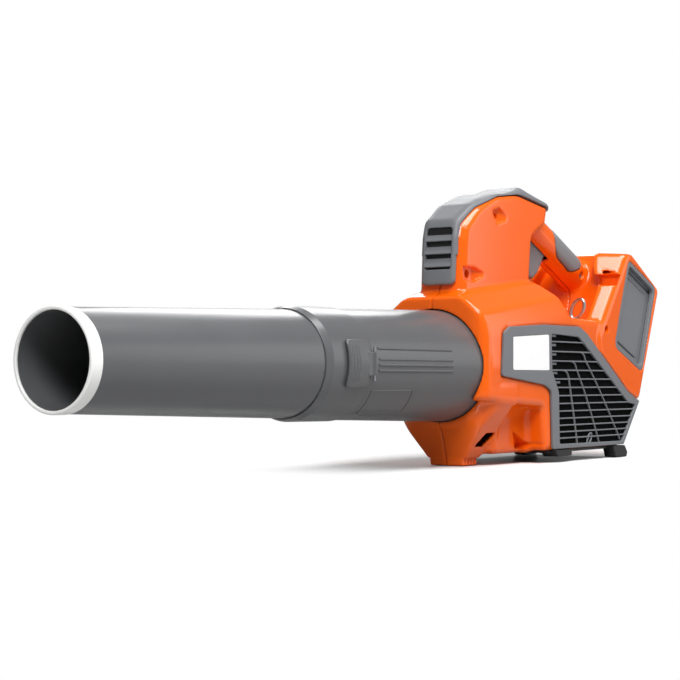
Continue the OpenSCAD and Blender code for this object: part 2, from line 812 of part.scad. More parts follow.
// Tapered nozzle with a straight tail that has three shallow stops for the latch
module nozzle_tube() {
    front = mouth_s + ring_lip;
    color(dark) difference() {
        turned([[front, mouth_r], [front, ring_r - ring_wall - running],
            [mouth_s + ring_l + 0.1, ring_r - ring_wall - running], [mouth_s + ring_l + 0.1, ring_r - 0.5], [-outlet_l - 6, tail_r], [-outlet_l + tail_l, tail_r],
            [-outlet_l + tail_l, tail_r - nozzle_wall], [-outlet_l - 6, tail_r - nozzle_wall], [front + 20, mouth_r]]);
        for (i = [0 : 2])
            block_between([tab_s - outlet_l + 8 + i * notch_pitch, tail_r - 1, -6],
                [tab_s - outlet_l + 13 + i * notch_pitch, tail_r + 5, 6]);
    }
}
module nozzle_ring() {
    color(pale) turned([[mouth_s, mouth_r], [mouth_s, ring_r], [mouth_s + ring_l, ring_r],
        [mouth_s + ring_l, ring_r - ring_wall], [mouth_s + ring_lip, ring_r - ring_wall], [mouth_s + ring_lip, mouth_r]]);
}

// Ring duct with guide vanes and the motor's pod
module fan_duct() {
    color(black) {
        ring(outlet_end, duct_rear, duct_r, duct_r + duct_wall);
        difference() {
            drum(pod_front, pod_rear, pod_r);
            drum(pod_front - 1, pod_rear - 3, pod_r - pod_wall);
            drum(pod_front, pod_rear + 1, bearing_r + running);
        }
        ring(pod_rear - 3 - bearing_l, pod_rear - 2, bearing_r + running, bearing_r + 2);
        for (i = [0 : vane_count - 1]) rotate([360 * i / vane_count, 0, 0])
            translate([-vane_to, 0, pod_r - 0.5]) rotate([0, 0, 12])
                cube([vane_to - vane_from, 2.4, duct_r - pod_r + 1.5]);
    }
}
module damper(from) { ring(from, from + damper_l, duct_r + duct_wall + 0.1, barrel_r - wall - 0.2); }
module front_damper() { color(black) damper(damper_spots[0]); }
module rear_damper() { color(black) damper(damper_spots[1]); }

// Rounded nose in front of the pod with the seat of the front bearing
module tail_cone() {
    tip = 18;
    steps = 8;
    arc = [for (i = [0 : steps]) let (t = 90 * i / steps) [pod_front - (pod_front - tip) * cos(t), pod_r * sin(t)]];
    color(black) turned(concat([for (i = [0 : steps]) arc[i]], [[pod_front, bearing_r + running],
        [pod_front - bearing_l - 1, bearing_r + running], [pod_front - bearing_l - 1, 0]]));
}

// Intake that flares to the rear
module inlet_bell() {
    steps = 6;
    inner = [for (i = [0 : steps]) let (t = 90 * i / steps)
        [duct_rear + bell_l * sin(t), duct_r + bell_flare * (1 - cos(t))]];
    outer = [for (i = [steps : -1 : 0]) let (t = 90 * i / steps)
        [duct_rear + (bell_l - bell_lip) * sin(t), duct_r + duct_wall + (bell_flare + bell_edge - duct_wall) * (1 - cos(t))]];
    color(black) turned(concat(inner, [[duct_rear + bell_l, duct_r + bell_flare + bell_edge]], outer));
}

module motor_stator() {
    core_r = pod_r - pod_wall - 0.15;
    teeth = 6;
    color("#8a5a34") difference() {
        union() {
            ring(stator_from, stator_to, core_r - 4, core_r);
            for (i = [0 : teeth - 1]) rotate([360 * i / teeth, 0, 0])
                translate([-stator_to, -3.4, rotor_r + 0.2]) cube([stator_to - stator_from, 6.8, core_r - rotor_r - 3]);
        }
        drum(stator_from - 1, stator_to + 1, rotor_r + 0.5);
    }
}
module motor_rotor() { color(steel) ring(stator_from + 1, stator_to - 1, shaft_r, rotor_r); }
module motor_shaft() { color(steel) drum(pod_front - bearing_l, fan_to + 6, shaft_r); }
module bearing(from) { ring(from, from + bearing_l, shaft_r + running, bearing_r); }
module front_bearing() { color(steel) bearing(pod_front - bearing_l); }
module rear_bearing() { color(steel) bearing(pod_rear - 3 - bearing_l); }

// Hub with flat pitched blades
module axial_fan() {
    tip_r = duct_r - tip_gap;
    pitch = 38;
    mid = (fan_from + fan_to) / 2;
    color(dark) difference() {
        union() {
            drum(fan_from, fan_to, pod_r - 0.5);
            intersection() {
                for (i = [0 : blade_count - 1]) rotate([360 * i / blade_count, 0, 0])
                    translate([-mid, 0, pod_r - 3]) rotate([0, 0, pitch])
                        translate([-11, -1.2, 0]) cube([22, 2.4, 40]);
                drum(fan_from - 2, fan_to + 2, tip_r);
            }
        }
        drum(fan_from - 5, fan_to + 5, shaft_r);
    }
}
module fan_nut() {
    color(steel) difference() {
        translate([-fan_to - 5, 0, 0]) rotate([0, 90, 0]) cylinder(h = 5, r = 5, $fn = 6);
        drum(fan_to - 1, fan_to + 7, shaft_r);
    }
}

module control_board() { color("#2c6b3f") side_plate(board_side, board_y, board_y + board_t); }

// Aluminium plate with five fins on the board
module heat_sink() {
    fins = 5;
    y = board_y + board_t;
    color(steel) translate([-70 - sink_box.x, y, 104]) {
        cube([sink_box.x, 3, sink_box.y]);
        for (i = [0 : fins - 1]) translate([0, 2, i * (sink_box.y - 2) / (fins - 1)])
            cube([sink_box.x, sink_box.z - 2, 2]);
    }
}

module motor_leads() {
    y = board_y + board_t / 2;
    bottom = sqrt(pow(duct_r + duct_wall, 2) - y * y) + 0.3;
    color(black) for (s = lead_spots) translate([-s, y, bottom])
        cylinder(h = board_side[0][1] - bottom, r = lead_r, $fn = 24);
}
module battery_leads() {
    color(black) for (route = [lead_route, lead_route_two])
        swept([for (q = route) [-q[0], q[1], q[2]]], lead_r, lead_sides);
}

// Block under the bay's floor with two blades that reach into the pack
module terminal_block() {
    floor_z = -bay_l - wall;
    color(black) in_bay() {
        translate([blade_x - 12, -24, floor_z - block_l]) cube([24, 48, block_l]);
        for (side = [-1, 1]) translate([blade_x - blade_w / 2, side * blade_y - blade_t / 2, floor_z - 1])
            cube([blade_w, blade_t, wall + gap + blade_l]);
    }
}

// Open box of the pack with thick flanks that hold the release pads
module battery_case() {
    inner = bat_w / 2 - flank;
    color(grey) in_bay() difference() {
        translate([-gap - bat_t, -bat_w / 2, -bat_l]) cube([bat_t, bat_w, bat_l - cap_l]);
        translate([-gap - bat_t + 2.5, -inner, -bat_l + 14]) cube([bat_t - 5, 2 * inner, bat_l]);
        for (flip = [false, true]) mirrored(flip) {
            pad_box(gap, bat_w / 2 - pad_t - pad_travel - gap, bat_w / 2 + 1);
            pad_pins(running, inner - 1, bat_w / 2);
        }
        for (side = [-1, 1]) translate([blade_x - blade_w / 2 - gap, side * blade_y - blade_t / 2 - gap, -bat_l - 1])
            cube([blade_w + 2 * gap, blade_t + 2 * gap, blade_l + 3]);
    }
}
module pad_box(g, from, to) {
    translate([-gap - bat_t / 2 - pad_w / 2 - g, from, -window_l / 2 - pad_l / 2 - g - 2])
        cube([pad_w + 2 * g, to - from, pad_l + 2 * g]);
}
module pad_pins(g, from, to) {
    for (end = [-1, 1]) translate([-gap - bat_t / 2, to, -window_l / 2 - 2 + end * 28]) rotate([90, 0, 0])
        cylinder(h = to - from, r = pad_pin_r + g, $fn = 48);
}
module release_pad() {
    face = bat_w / 2 - 0.2;
    in_bay() {
        pad_box(0, face - pad_t, face);
        pad_pins(0, bat_w / 2 - flank + 3, face - pad_t + 0.5);
    }
}
module left_release_pad() { color(dark) release_pad(); }
module right_release_pad() { color(dark) mirrored(true) release_pad(); }

// Lid of the pack with a finger recess at each side of its top
module battery_cap() {
    color(grey) in_bay() difference() {
        translate([-gap - bat_t, -bat_w / 2, -cap_l]) cube([bat_t, bat_w, cap_l + 3]);
        translate([-gap - bat_t + 14, -bat_w / 2 + 16, -2]) cube([bat_t - 28, bat_w - 32, 10]);
    }
}
module battery_cells() {
    pitch_x = 2 * cell_r + 0.2;
    floor_z = -bat_l + 14 + cell_r + 0.1;
    first_x = -gap - bat_t / 2 - pitch_x * (cell_cols - 1) / 2;
    color("#3f6fb0") in_bay() for (row = [0 : cell_rows - 1], col = [0 : cell_cols - 1])
        translate([first_x + col * pitch_x, cell_l / 2, floor_z + row * pitch_x]) rotate([90, 0, 0])
            cylinder(h = cell_l, r = cell_r, $fn = 48);
}

place() left_housing();
place() right_housing();
place() top_cover();
place() keypad_panel();
place() power_button();
place() boost_button();
place() grip_pad();
place() trigger();
place() trigger_pin();
place() trigger_spring();
place() trigger_switch();
place() left_intake_grille();
place() right_intake_grille();
place() left_intake_screen();
place() right_intake_screen();
place() left_label_plate();
place() right_label_plate();
place() base_skid();
place() strap_eyelet();
place() housing_screws();
place() outlet_tube();
place() tube_latch();
place() latch_pin();
place() nozzle_tube();
place() nozzle_ring();
place() fan_duct();
place() front_damper();
place() rear_damper();
place() tail_cone();
place() inlet_bell();
place() motor_stator();
place() motor_rotor();
place() motor_shaft();
place() front_bearing();
place() rear_bearing();
place() axial_fan();
place() fan_nut();
place() control_board();
place() heat_sink();
place() motor_leads();
place() battery_leads();
place() terminal_block();
place() battery_case();
place() battery_cap();
place() battery_cells();
place() left_release_pad();
place() right_release_pad();
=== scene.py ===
# %% [markdown]
# # A handheld battery leaf blower
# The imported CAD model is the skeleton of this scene: it fixes every size, place and joint.
# This lesson dresses it piece by piece, and each piece goes exactly where its CAD solid is.

import math
from functools import reduce

import bmesh
import bpy
import numpy as np
from mathutils import Matrix, Vector

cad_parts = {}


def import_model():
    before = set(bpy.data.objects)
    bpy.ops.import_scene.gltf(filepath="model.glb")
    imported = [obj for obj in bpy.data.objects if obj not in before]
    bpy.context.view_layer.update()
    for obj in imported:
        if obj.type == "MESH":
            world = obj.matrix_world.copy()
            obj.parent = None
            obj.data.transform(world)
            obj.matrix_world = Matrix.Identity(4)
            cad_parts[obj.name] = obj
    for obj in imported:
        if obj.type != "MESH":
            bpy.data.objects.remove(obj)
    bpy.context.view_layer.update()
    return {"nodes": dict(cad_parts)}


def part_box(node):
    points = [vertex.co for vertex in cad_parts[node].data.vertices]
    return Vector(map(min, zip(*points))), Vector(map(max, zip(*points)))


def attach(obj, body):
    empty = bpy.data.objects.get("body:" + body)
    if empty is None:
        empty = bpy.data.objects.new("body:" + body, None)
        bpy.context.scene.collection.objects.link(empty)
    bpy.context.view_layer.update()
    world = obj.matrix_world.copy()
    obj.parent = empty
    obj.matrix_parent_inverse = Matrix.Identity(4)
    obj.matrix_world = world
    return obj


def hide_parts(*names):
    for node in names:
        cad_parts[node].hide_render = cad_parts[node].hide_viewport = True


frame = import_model()

# %% [markdown]
# The housing is drawn in its own plain numbers: s millimetres behind its front face, y to the left,
# h above the air axis. One function turns such a point into metres in the shared frame.

# %% Body coordinates
MM = 0.001
FACE_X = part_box("left_housing")[1].x / MM
AXIS_H = 100.0
BODY_TO_WORLD = Matrix.Translation((FACE_X * MM, 0, AXIS_H * MM)) @ Matrix.Scale(MM, 4)


def world(s, y, h):
    return Vector(((FACE_X - s) * MM, y * MM, (h + AXIS_H) * MM))


def placed(name, data):
    """New object in the scene."""
    made = bpy.data.objects.new(name, data)
    bpy.context.collection.objects.link(made)
    return made


def grade(fine):
    return fine


print("front face of the housing at X", round(FACE_X, 2), "mm")

# %% [markdown]
# The camera stands low and in front, as in the photograph: level, about 1.5 m away, with a
# long lens. A little shift, not a tilt, puts the horizon below the middle so uprights stay upright.

# %% Camera
CAMERA_AT, CAMERA_TURN = (1.3115, 0.8389, 0.085), 34.7
SENSOR_MM, LENS_MM, HORIZON_SHIFT = 36, 85.8, 0.0603

camera_data = bpy.data.cameras.new("Camera")
camera_data.sensor_width = SENSOR_MM
camera_data.lens = LENS_MM
camera_data.shift_y = HORIZON_SHIFT
camera = placed("Camera", camera_data)
camera.location = CAMERA_AT
camera.rotation_euler = (math.radians(90), 0, math.radians(90 + CAMERA_TURN))
bpy.context.scene.camera = camera
print("camera", [round(v, 3) for v in camera.location])

# %% [markdown]
# Materials need many small nodes. One helper adds a node, sets what is given and links sockets,
# and one more turns the sRGB hex colours of paint charts into the linear values of a shader.

# %% Node helper and colours
WHITE = (1, 1, 1, 1)


def linear(hex_colour):
    parts = [int(hex_colour[i:i + 2], 16) / 255 for i in (1, 3, 5)]
    return [c / 12.92 if c <= 0.04045 else ((c + 0.055) / 1.055) ** 2.4 for c in parts] + [1.0]


def add(tree, kind, settings=None, **inputs):
    """Adds a node. Settings are its properties. Inputs are its sockets, by name with _ for a space or
    by number as i0, and a node given to a socket stands for its first output."""
    made = tree.nodes.new(kind)
    for key, value in (settings or {}).items():
        setattr(made, key, value)
    for key, value in inputs.items():
        numbered = key[0] == "i" and key[1:].isdigit()
        socket = made.inputs[int(key[1:]) if numbered else key.replace("_", " ")]
        if isinstance(value, bpy.types.Node):
            value = value.outputs[0]
        if isinstance(value, bpy.types.NodeSocket):
            tree.links.new(value, socket)
        else:
            socket.default_value = value
    return made


def fresh_material(name):
    material = bpy.data.materials.new(name)
    material.use_nodes = True
    material.node_tree.nodes.clear()
    return material, material.node_tree


print("linear of mid grey", [round(v, 3) for v in linear("#808080")[:3]])

# %% [markdown]
# The stage is a white sweep. The camera sees the shadow near the object and plain white further
# out, so no horizon shows. Light that bounces off the floor meets a darker tone, as when a
# photographer lays grey cards beside a product, because a white bounce would wash out the undersides.

# %% Floor
FLOOR_HALF, FLOOR_Z = 30.0, -0.0004
FLOOR_CORNERS = ((-1, -1), (1, -1), (1, 1), (-1, 1))
SHADOW_AT = (-0.27, 0.0, 0.0)
FADE_FROM, FADE_TO = 0.2, 0.4
BOUNCE_TONE, PAPER_TONE, POLISH_SHARE = "#a8a8a8", "#f4f4f4", 0.1

floor_mesh = bpy.data.meshes.new("Floor")
floor_points = [(x * FLOOR_HALF, y * FLOOR_HALF, FLOOR_Z) for x, y in FLOOR_CORNERS]
floor_mesh.from_pydata(floor_points, [], [(0, 1, 2, 3)])
floor = placed("Floor", floor_mesh)
sweep, tree = fresh_material("White_sweep")
coords = add(tree, "ShaderNodeTexCoord").outputs["Object"]
reach = add(tree, "ShaderNodeVectorMath", {"operation": "DISTANCE"}, i0=coords, i1=SHADOW_AT)
fade = add(tree, "ShaderNodeMapRange", {"interpolation_type": "SMOOTHSTEP"}, Value=reach.outputs["Value"],
           From_Min=FADE_FROM, From_Max=FADE_TO)
seen = add(tree, "ShaderNodeLightPath").outputs["Is Camera Ray"]
share = add(tree, "ShaderNodeMath", {"operation": "MULTIPLY"}, i0=fade, i1=seen)
tone = add(tree, "ShaderNodeMix", {"data_type": "RGBA"}, i0=seen, i6=linear(BOUNCE_TONE),
           i7=linear(PAPER_TONE))
paper = add(tree, "ShaderNodeBsdfDiffuse", Color=tone.outputs[2])
polish = add(tree, "ShaderNodeBsdfGlossy", Color=WHITE, Roughness=0.18)
sheet = add(tree, "ShaderNodeMixShader", Fac=POLISH_SHARE, i1=paper, i2=polish)
plain = add(tree, "ShaderNodeEmission", Color=WHITE, Strength=1.0)
mixed = add(tree, "ShaderNodeMixShader", Fac=share, i1=sheet, i2=plain)
add(tree, "ShaderNodeOutputMaterial", Surface=mixed)
floor_mesh.materials.append(sweep)
print("floor fades to white from", FADE_FROM, "to", FADE_TO, "m")

# %% [markdown]
# The room is dim and a few softboxes do the work. Gloss shows what stands in the mirror direction,
# so each softbox stands where a face should shine: one above for the slanted faces, one beside the
# tube for its long soft band, one behind for the upper edges. The white backdrop behind the object
# is seen by the camera and in reflections, but it doesn't light the object.

# %% World and lamps
BACKDROP_WAY = (-0.82, -0.57, 0.0)
BACKDROP_FROM, BACKDROP_TO = 0.93, 0.985
ROOM_LIGHT = 0.22

studio = bpy.data.worlds.new("Studio")
bpy.context.scene.world = studio
studio.use_nodes = True
tree = studio.node_tree
tree.nodes.clear()
path = add(tree, "ShaderNodeLightPath").outputs
way = add(tree, "ShaderNodeTexCoord").outputs["Generated"]
facing = add(tree, "ShaderNodeVectorMath", {"operation": "DOT_PRODUCT"}, i0=way, i1=BACKDROP_WAY)
behind = add(tree, "ShaderNodeMapRange", {"interpolation_type": "SMOOTHSTEP"}, Value=facing.outputs["Value"],
             From_Min=BACKDROP_FROM, From_Max=BACKDROP_TO)
mirrored = add(tree, "ShaderNodeMath", {"operation": "MULTIPLY"}, i0=behind, i1=path["Is Glossy Ray"])
direct = add(tree, "ShaderNodeMath", {"operation": "MAXIMUM"}, i0=path["Is Camera Ray"],
             i1=path["Is Transmission Ray"])
seen = add(tree, "ShaderNodeMath", {"operation": "MAXIMUM"}, i0=direct, i1=mirrored)
room = add(tree, "ShaderNodeBackground", Color=WHITE, Strength=ROOM_LIGHT)
backdrop = add(tree, "ShaderNodeBackground", Color=WHITE, Strength=1.0)
mixed = add(tree, "ShaderNodeMixShader", Fac=seen, i1=room, i2=backdrop)
add(tree, "ShaderNodeOutputWorld", Surface=mixed)

# Softboxes: name, place, point aimed at, width, height, power
LAMPS = [
    ("Key_left", (0.3, 1.45, 2.0), (-0.2, 0, 0.12), 1.0, 1.0, 18),
    ("Front_left", (1.45, 1.05, 1.75), (-0.1, 0, 0.15), 0.8, 0.9, 42),
    ("Side_panel", (-1.65, 1.5, 0.62), (0.1, 0, 0.1), 1.1, 1.1, 5),
    ("Top_strip", (-0.4, 0.75, 2.1), (-0.25, 0.05, 0.15), 1.3, 0.6, 28),
    ("Back_panel", (-1.3, -0.9, 1.15), (-0.1, 0, 0.15), 0.8, 0.5, 9),
]
for name, place, aim, width, height, power in LAMPS:
    lamp = bpy.data.lights.new(name, "AREA")
    lamp.shape = "RECTANGLE"
    lamp.size, lamp.size_y = width, height
    lamp.energy = power
    holder = placed(name, lamp)
    holder.location = place
    holder.rotation_euler = (Vector(aim) - Vector(place)).to_track_quat("-Z", "Y").to_euler()
bpy.context.scene.view_settings.view_transform = "Standard"
print("lamps", len(LAMPS))

# %% [markdown]
# Moulded plastic is never one flat colour. Its pigment drifts a little over centimetres, spark
# erosion in the mould leaves a grain under a millimetre, and gloss varies where hands rub it.
# The grain is drawn a little coarser than real so that it shows from a metre away.

# %% Moulded plastics
PIGMENT_MM, GLOSS_DRIFT = 45, 0.06


def moulded(name, hex_colour, roughness, grain_mm, depth_mm, drift=0.06, coat=0.0, ior=1.49):
    material, tree = fresh_material(name)
    coords = add(tree, "ShaderNodeTexCoord").outputs["Object"]
    pigment = add(tree, "ShaderNodeTexNoise", Vector=coords, Scale=1 / (PIGMENT_MM * MM), Detail=2.0)
    grain = add(tree, "ShaderNodeTexNoise", Vector=coords, Scale=1 / (grain_mm * MM), Detail=3.0,
                Roughness=0.6)
    colour = linear(hex_colour)[:3]
    pale = [min(1, c * (1 + drift)) for c in colour] + [1]
    deep = [c * (1 - drift) for c in colour] + [1]
    tint = add(tree, "ShaderNodeMix", {"data_type": "RGBA"}, i0=pigment, i6=deep, i7=pale)
    rough = add(tree, "ShaderNodeMapRange", Value=pigment, From_Min=0.25, From_Max=0.75,
                To_Min=roughness * (1 - GLOSS_DRIFT), To_Max=roughness * (1 + GLOSS_DRIFT))
    bump = add(tree, "ShaderNodeBump", Strength=0.5, Distance=depth_mm * MM, Height=grain)
    shader = add(tree, "ShaderNodeBsdfPrincipled", Base_Color=tint.outputs[2], Roughness=rough, IOR=ior,
                 Normal=bump, Coat_Weight=coat, Coat_Roughness=0.06)
    add(tree, "ShaderNodeOutputMaterial", Surface=shader)
    return material


# Polished mould: ABS with a skin that mirrors the softboxes
orange_abs = moulded("Orange_ABS_polished", "#f2620b", 0.15, 1.4, 0.004, drift=0.03, coat=0.05, ior=1.46)
# Spark-eroded mould: dull nylon with broad, weak highlights
grey_nylon = moulded("Grey_nylon_grained", "#6f7175", 0.5, 0.9, 0.05)
# Blow-moulded tube: satin, smoother than the grained parts
dark_tube = moulded("Dark_tube_satin", "#5a5b5d", 0.3, 1.6, 0.012)
# The grained nylon in black: only its edges catch light
black_nylon = moulded("Black_nylon_grained", "#141416", 0.48, 0.9, 0.05)
# Soft overmoulded rubber: an even grey with hardly a highlight
grip_rubber = moulded("Grip_rubber_grey", "#77797c", 0.72, 0.8, 0.09, drift=0.04)
# Moulded seals and cable sheaths: dull and nearly black
black_rubber = moulded("Black_rubber_seal", "#161617", 0.7, 1.0, 0.06)
# Polished ABS in white: a bright rim with a narrow highlight
pale_ring = moulded("Pale_ring_gloss", "#f1f1ef", 0.25, 1.6, 0.01, drift=0.02)
# Polyester label: flat white with a faint gloss
label_white = moulded("Label_blank_white", "#f6f6f6", 0.3, 2.0, 0.006, drift=0.015)
# Moulded silicone keys: full colour under a soft sheen
key_green = moulded("Key_green_soft", "#2f9e57", 0.45, 0.9, 0.03)
key_grey = moulded("Key_grey_soft", "#85878b", 0.45, 0.9, 0.03)
# Lacquered board: green with cloudy depth
board = moulded("Board_coated_green", "#27613a", 0.35, 3.0, 0.05, drift=0.15)
# Shrink sleeve of the cells: blue film with a soft gloss
sleeve = moulded("Cell_sleeve_blue", "#34619c", 0.35, 2.0, 0.02)
print("plastics", len(bpy.data.materials))

# %% [markdown]
# Metals keep the default index of refraction. Their colour comes from the metal itself, and what
# tells them apart is how rough the last tool left them.

# %% Metals


def metal(name, hex_colour, roughness, grain_mm):
    material, tree = fresh_material(name)
    coords = add(tree, "ShaderNodeTexCoord").outputs["Object"]
    scratch = add(tree, "ShaderNodeTexNoise", Vector=coords, Scale=1 / (grain_mm * MM), Detail=4.0,
                  Roughness=0.7)
    rough = add(tree, "ShaderNodeMapRange", Value=scratch, From_Min=0.3, From_Max=0.7,
                To_Min=roughness * 0.75, To_Max=roughness * 1.3)
    bump = add(tree, "ShaderNodeBump", Strength=0.3, Distance=0.02 * MM, Height=scratch)
    shader = add(tree, "ShaderNodeBsdfPrincipled", Base_Color=linear(hex_colour), Metallic=1.0,
                 Roughness=rough, Normal=bump)
    add(tree, "ShaderNodeOutputMaterial", Surface=shader)
    return material


# Zinc-plated steel: cool grey, a blurred mirror
steel = metal("Steel_zinc_plated", "#b9bcc0", 0.32, 0.8)
# Extruded aluminium: paler and duller than the steel
aluminium = metal("Aluminium_extruded", "#d2d4d6", 0.4, 0.6)
# Enamelled copper wire: warm, with a shine like varnish
copper = metal("Copper_enamelled", "#b0713c", 0.35, 1.2)
print("metals", [m.name for m in (steel, aluminium, copper)])

# %% [markdown]
# Behind the grille lies a fine woven screen. Real threads are too fine to show from a metre away, so
# they are drawn 1.6 mm apart. Two crossed waves make the weave, because a picture would need a file.
# The gaps between the threads are painted darker: painted shade seen through the holes.

# %% Woven screen
THREAD_MM = 1.6


def woven(name, hex_wire, hex_shade_in_gaps):
    """Square mesh of fine threads in the plane of the machine's side, with painted shade in the gaps."""
    material, tree = fresh_material(name)
    split = add(tree, "ShaderNodeSeparateXYZ", Vector=add(tree, "ShaderNodeTexCoord").outputs["Object"])
    squares = []
    for axis in ("X", "Z"):
        turns = add(tree, "ShaderNodeMath", {"operation": "MULTIPLY"}, i0=split.outputs[axis],
                    i1=math.pi / (THREAD_MM * MM))
        wave = add(tree, "ShaderNodeMath", {"operation": "SINE"}, i0=turns)
        squares.append(add(tree, "ShaderNodeMath", {"operation": "MULTIPLY"}, i0=wave, i1=wave))
    top = add(tree, "ShaderNodeMath", {"operation": "MAXIMUM"}, i0=squares[0], i1=squares[1])
    wires = add(tree, "ShaderNodeMapRange", Value=top, From_Min=0.75, From_Max=0.92)
    # Gaps darker than the threads: painted shade, where the unlit inside shows through the holes
    tint = add(tree, "ShaderNodeMix", {"data_type": "RGBA"}, i0=wires, i6=linear(hex_shade_in_gaps),
               i7=linear(hex_wire))
    bump = add(tree, "ShaderNodeBump", Strength=0.8, Distance=0.3 * MM, Height=wires)
    shader = add(tree, "ShaderNodeBsdfPrincipled", Base_Color=tint.outputs[2], Roughness=0.9, Normal=bump,
                 Specular_IOR_Level=0.05)
    add(tree, "ShaderNodeOutputMaterial", Surface=shader)
    return material


# Woven nylon: black and almost without gloss, with painted shade in its gaps
screen_mesh = woven("Nylon_mesh_black", "#161617", "#030303")
print("threads", THREAD_MM, "mm apart")

# %% [markdown]
# Most pieces start from a side view with a few corners. A corner carries its own radius, and one
# function draws the arcs, so an outline stays a short list that can be checked against the object.

# %% Outlines
ARC_STEPS = 6


def rounded(points):
    """Closed outline of [u, v] from corners [u, v, radius]."""
    out = []
    for i, (*corner, radius) in enumerate(points):
        here = np.array(corner, float)
        if radius <= 0:
            out.append(here)
            continue
        back = np.array(points[i - 1][:2], float) - here
        ahead = np.array(points[(i + 1) % len(points)][:2], float) - here
        back, ahead = back / np.linalg.norm(back), ahead / np.linalg.norm(ahead)
        half = math.acos(np.clip(back @ ahead, -1, 1)) / 2
        middle = here + (back + ahead) / np.linalg.norm(back + ahead) * radius / math.sin(half)
        start = (here + back * radius / math.tan(half) - middle) / radius
        end = (here + ahead * radius / math.tan(half) - middle) / radius
        turn = math.acos(np.clip(start @ end, -1, 1))
        for k in range(ARC_STEPS + 1):
            t = k / ARC_STEPS
            blend = math.sin((1 - t) * turn) * start + math.sin(t * turn) * end
            out.append(middle + radius * blend / math.sin(turn))
    return np.array(out)


def grown(points, by):
    """Outline moved outward by some millimetres."""
    out = []
    for i, p in enumerate(points):
        here, last, ahead = (np.array(points[k % len(points)][:2], float) for k in (i, i - 1, i + 1))
        u, v = (here - last) / np.linalg.norm(here - last), (ahead - here) / np.linalg.norm(ahead - here)
        moved = here - by * np.array([-u[1] - v[1], u[0] + v[0]]) / (1 + u @ v)
        out.append([*moved, max(p[2] + by, 0)])
    return out


def oblong(u0, v0, u1, v1, low_radius, high_radius):
    """Corners of a rectangle with one radius at its lower and one at its upper corners."""
    return [[u0, v0, low_radius], [u1, v0, low_radius], [u1, v1, high_radius], [u0, v1, high_radius]]


print("points in a rounded square", len(rounded(oblong(0, 0, 10, 10, 2, 2))))

# %% [markdown]
# The big shells have flat sides, rounded edges and soft joins between block, tower and leg.
# Boxes with bevels can't join like that. So each form is a distance field: a number that is
# negative inside and positive outside. Fields are joined with a soft minimum, cut with a soft
# maximum, and a skin is then drawn where the number is zero. The last number given to join, meet or
# cut is how far the blend reaches, in millimetres.

# %% Fields


def outline(points, u, v):
    """Signed distance from the rounded outline, negative inside."""
    path = rounded(points)
    best, inside = None, False
    for a, b in zip(path, np.roll(path, -1, axis=0)):
        edge = b - a
        across, up = u - a[0], v - a[1]
        t = np.clip((across * edge[0] + up * edge[1]) / (edge @ edge + 1e-12), 0, 1)
        gap = (across - edge[0] * t) ** 2 + (up - edge[1] * t) ** 2
        best = gap if best is None else np.minimum(best, gap)
        if abs(edge[1]) > 1e-9:
            inside = inside ^ (((a[1] > v) != (b[1] > v)) & (u < edge[0] * (v - a[1]) / edge[1] + a[0]))
    return np.where(inside, -1.0, 1.0) * np.sqrt(best)


def either(*fields):
    return reduce(np.minimum, fields)


def within(*fields):
    return reduce(np.maximum, fields)


def join(a, b, soft):
    return np.minimum(a, b) - np.maximum(soft - np.abs(a - b), 0) ** 2 / (4 * soft)


def meet(a, b, soft):
    return -join(-a, -b, soft)


def cut(a, b, soft=0.0):
    return meet(a, -b, soft) if soft else np.maximum(a, -b)


def span(y, low, high):
    return np.maximum(low - y, y - high)


def rod(at, radius, u, v):
    return np.sqrt((u - at[0]) ** 2 + (v - at[1]) ** 2) - radius


def plate(points, s, h, y, from_y, to_y):
    """Prism of a side outline between two widths."""
    return within(outline(points, s, h), np.abs(y - (from_y + to_y) / 2) - (to_y - from_y) / 2)


def turned_by(degrees, s, h, at_s, at_h):
    """Coordinates forward and up in a frame that leans back by some degrees."""
    angle = math.radians(degrees)
    ahead, up = at_s - s, h - at_h
    return ahead * math.cos(angle) + up * math.sin(angle), up * math.cos(angle) - ahead * math.sin(angle)


print("a rod of radius 2 is", rod((0, 0), 2, 0, 0), "at its middle")

# %% [markdown]
# A skin is drawn by surface nets: each grid cell that the surface crosses gets one point, and each
# grid edge that it crosses gets a quad between four cells. Volume to Mesh could do this, but all the
# fields would have to be nodes, so the net is made here. Two short steps then settle its points.

# %% Skin of a field
SETTLE_STEPS = 2


def net(solid, index, shape):
    """Quads round the grid edges with one end inside."""
    quads = []
    for axis in range(3):
        u, w = (axis + 1) % 3, (axis + 2) % 3
        first = np.take(solid, range(solid.shape[axis] - 1), axis)
        second = np.take(solid, range(1, solid.shape[axis]), axis)
        edges = np.argwhere(first != second)
        room = (edges[:, u] > 0) & (edges[:, w] > 0) & (edges[:, u] < shape[u]) & (edges[:, w] < shape[w])
        edges = edges[room]
        outward = first[tuple(edges.T)]
        du, dw = np.eye(3, dtype=int)[u], np.eye(3, dtype=int)[w]
        ring = np.stack([index[tuple((edges - d).T)] for d in (du + dw, dw, 0 * du, du)], 1)
        ring[~outward] = ring[~outward][:, ::-1]
        quads.append(ring)
    return np.concatenate(quads)


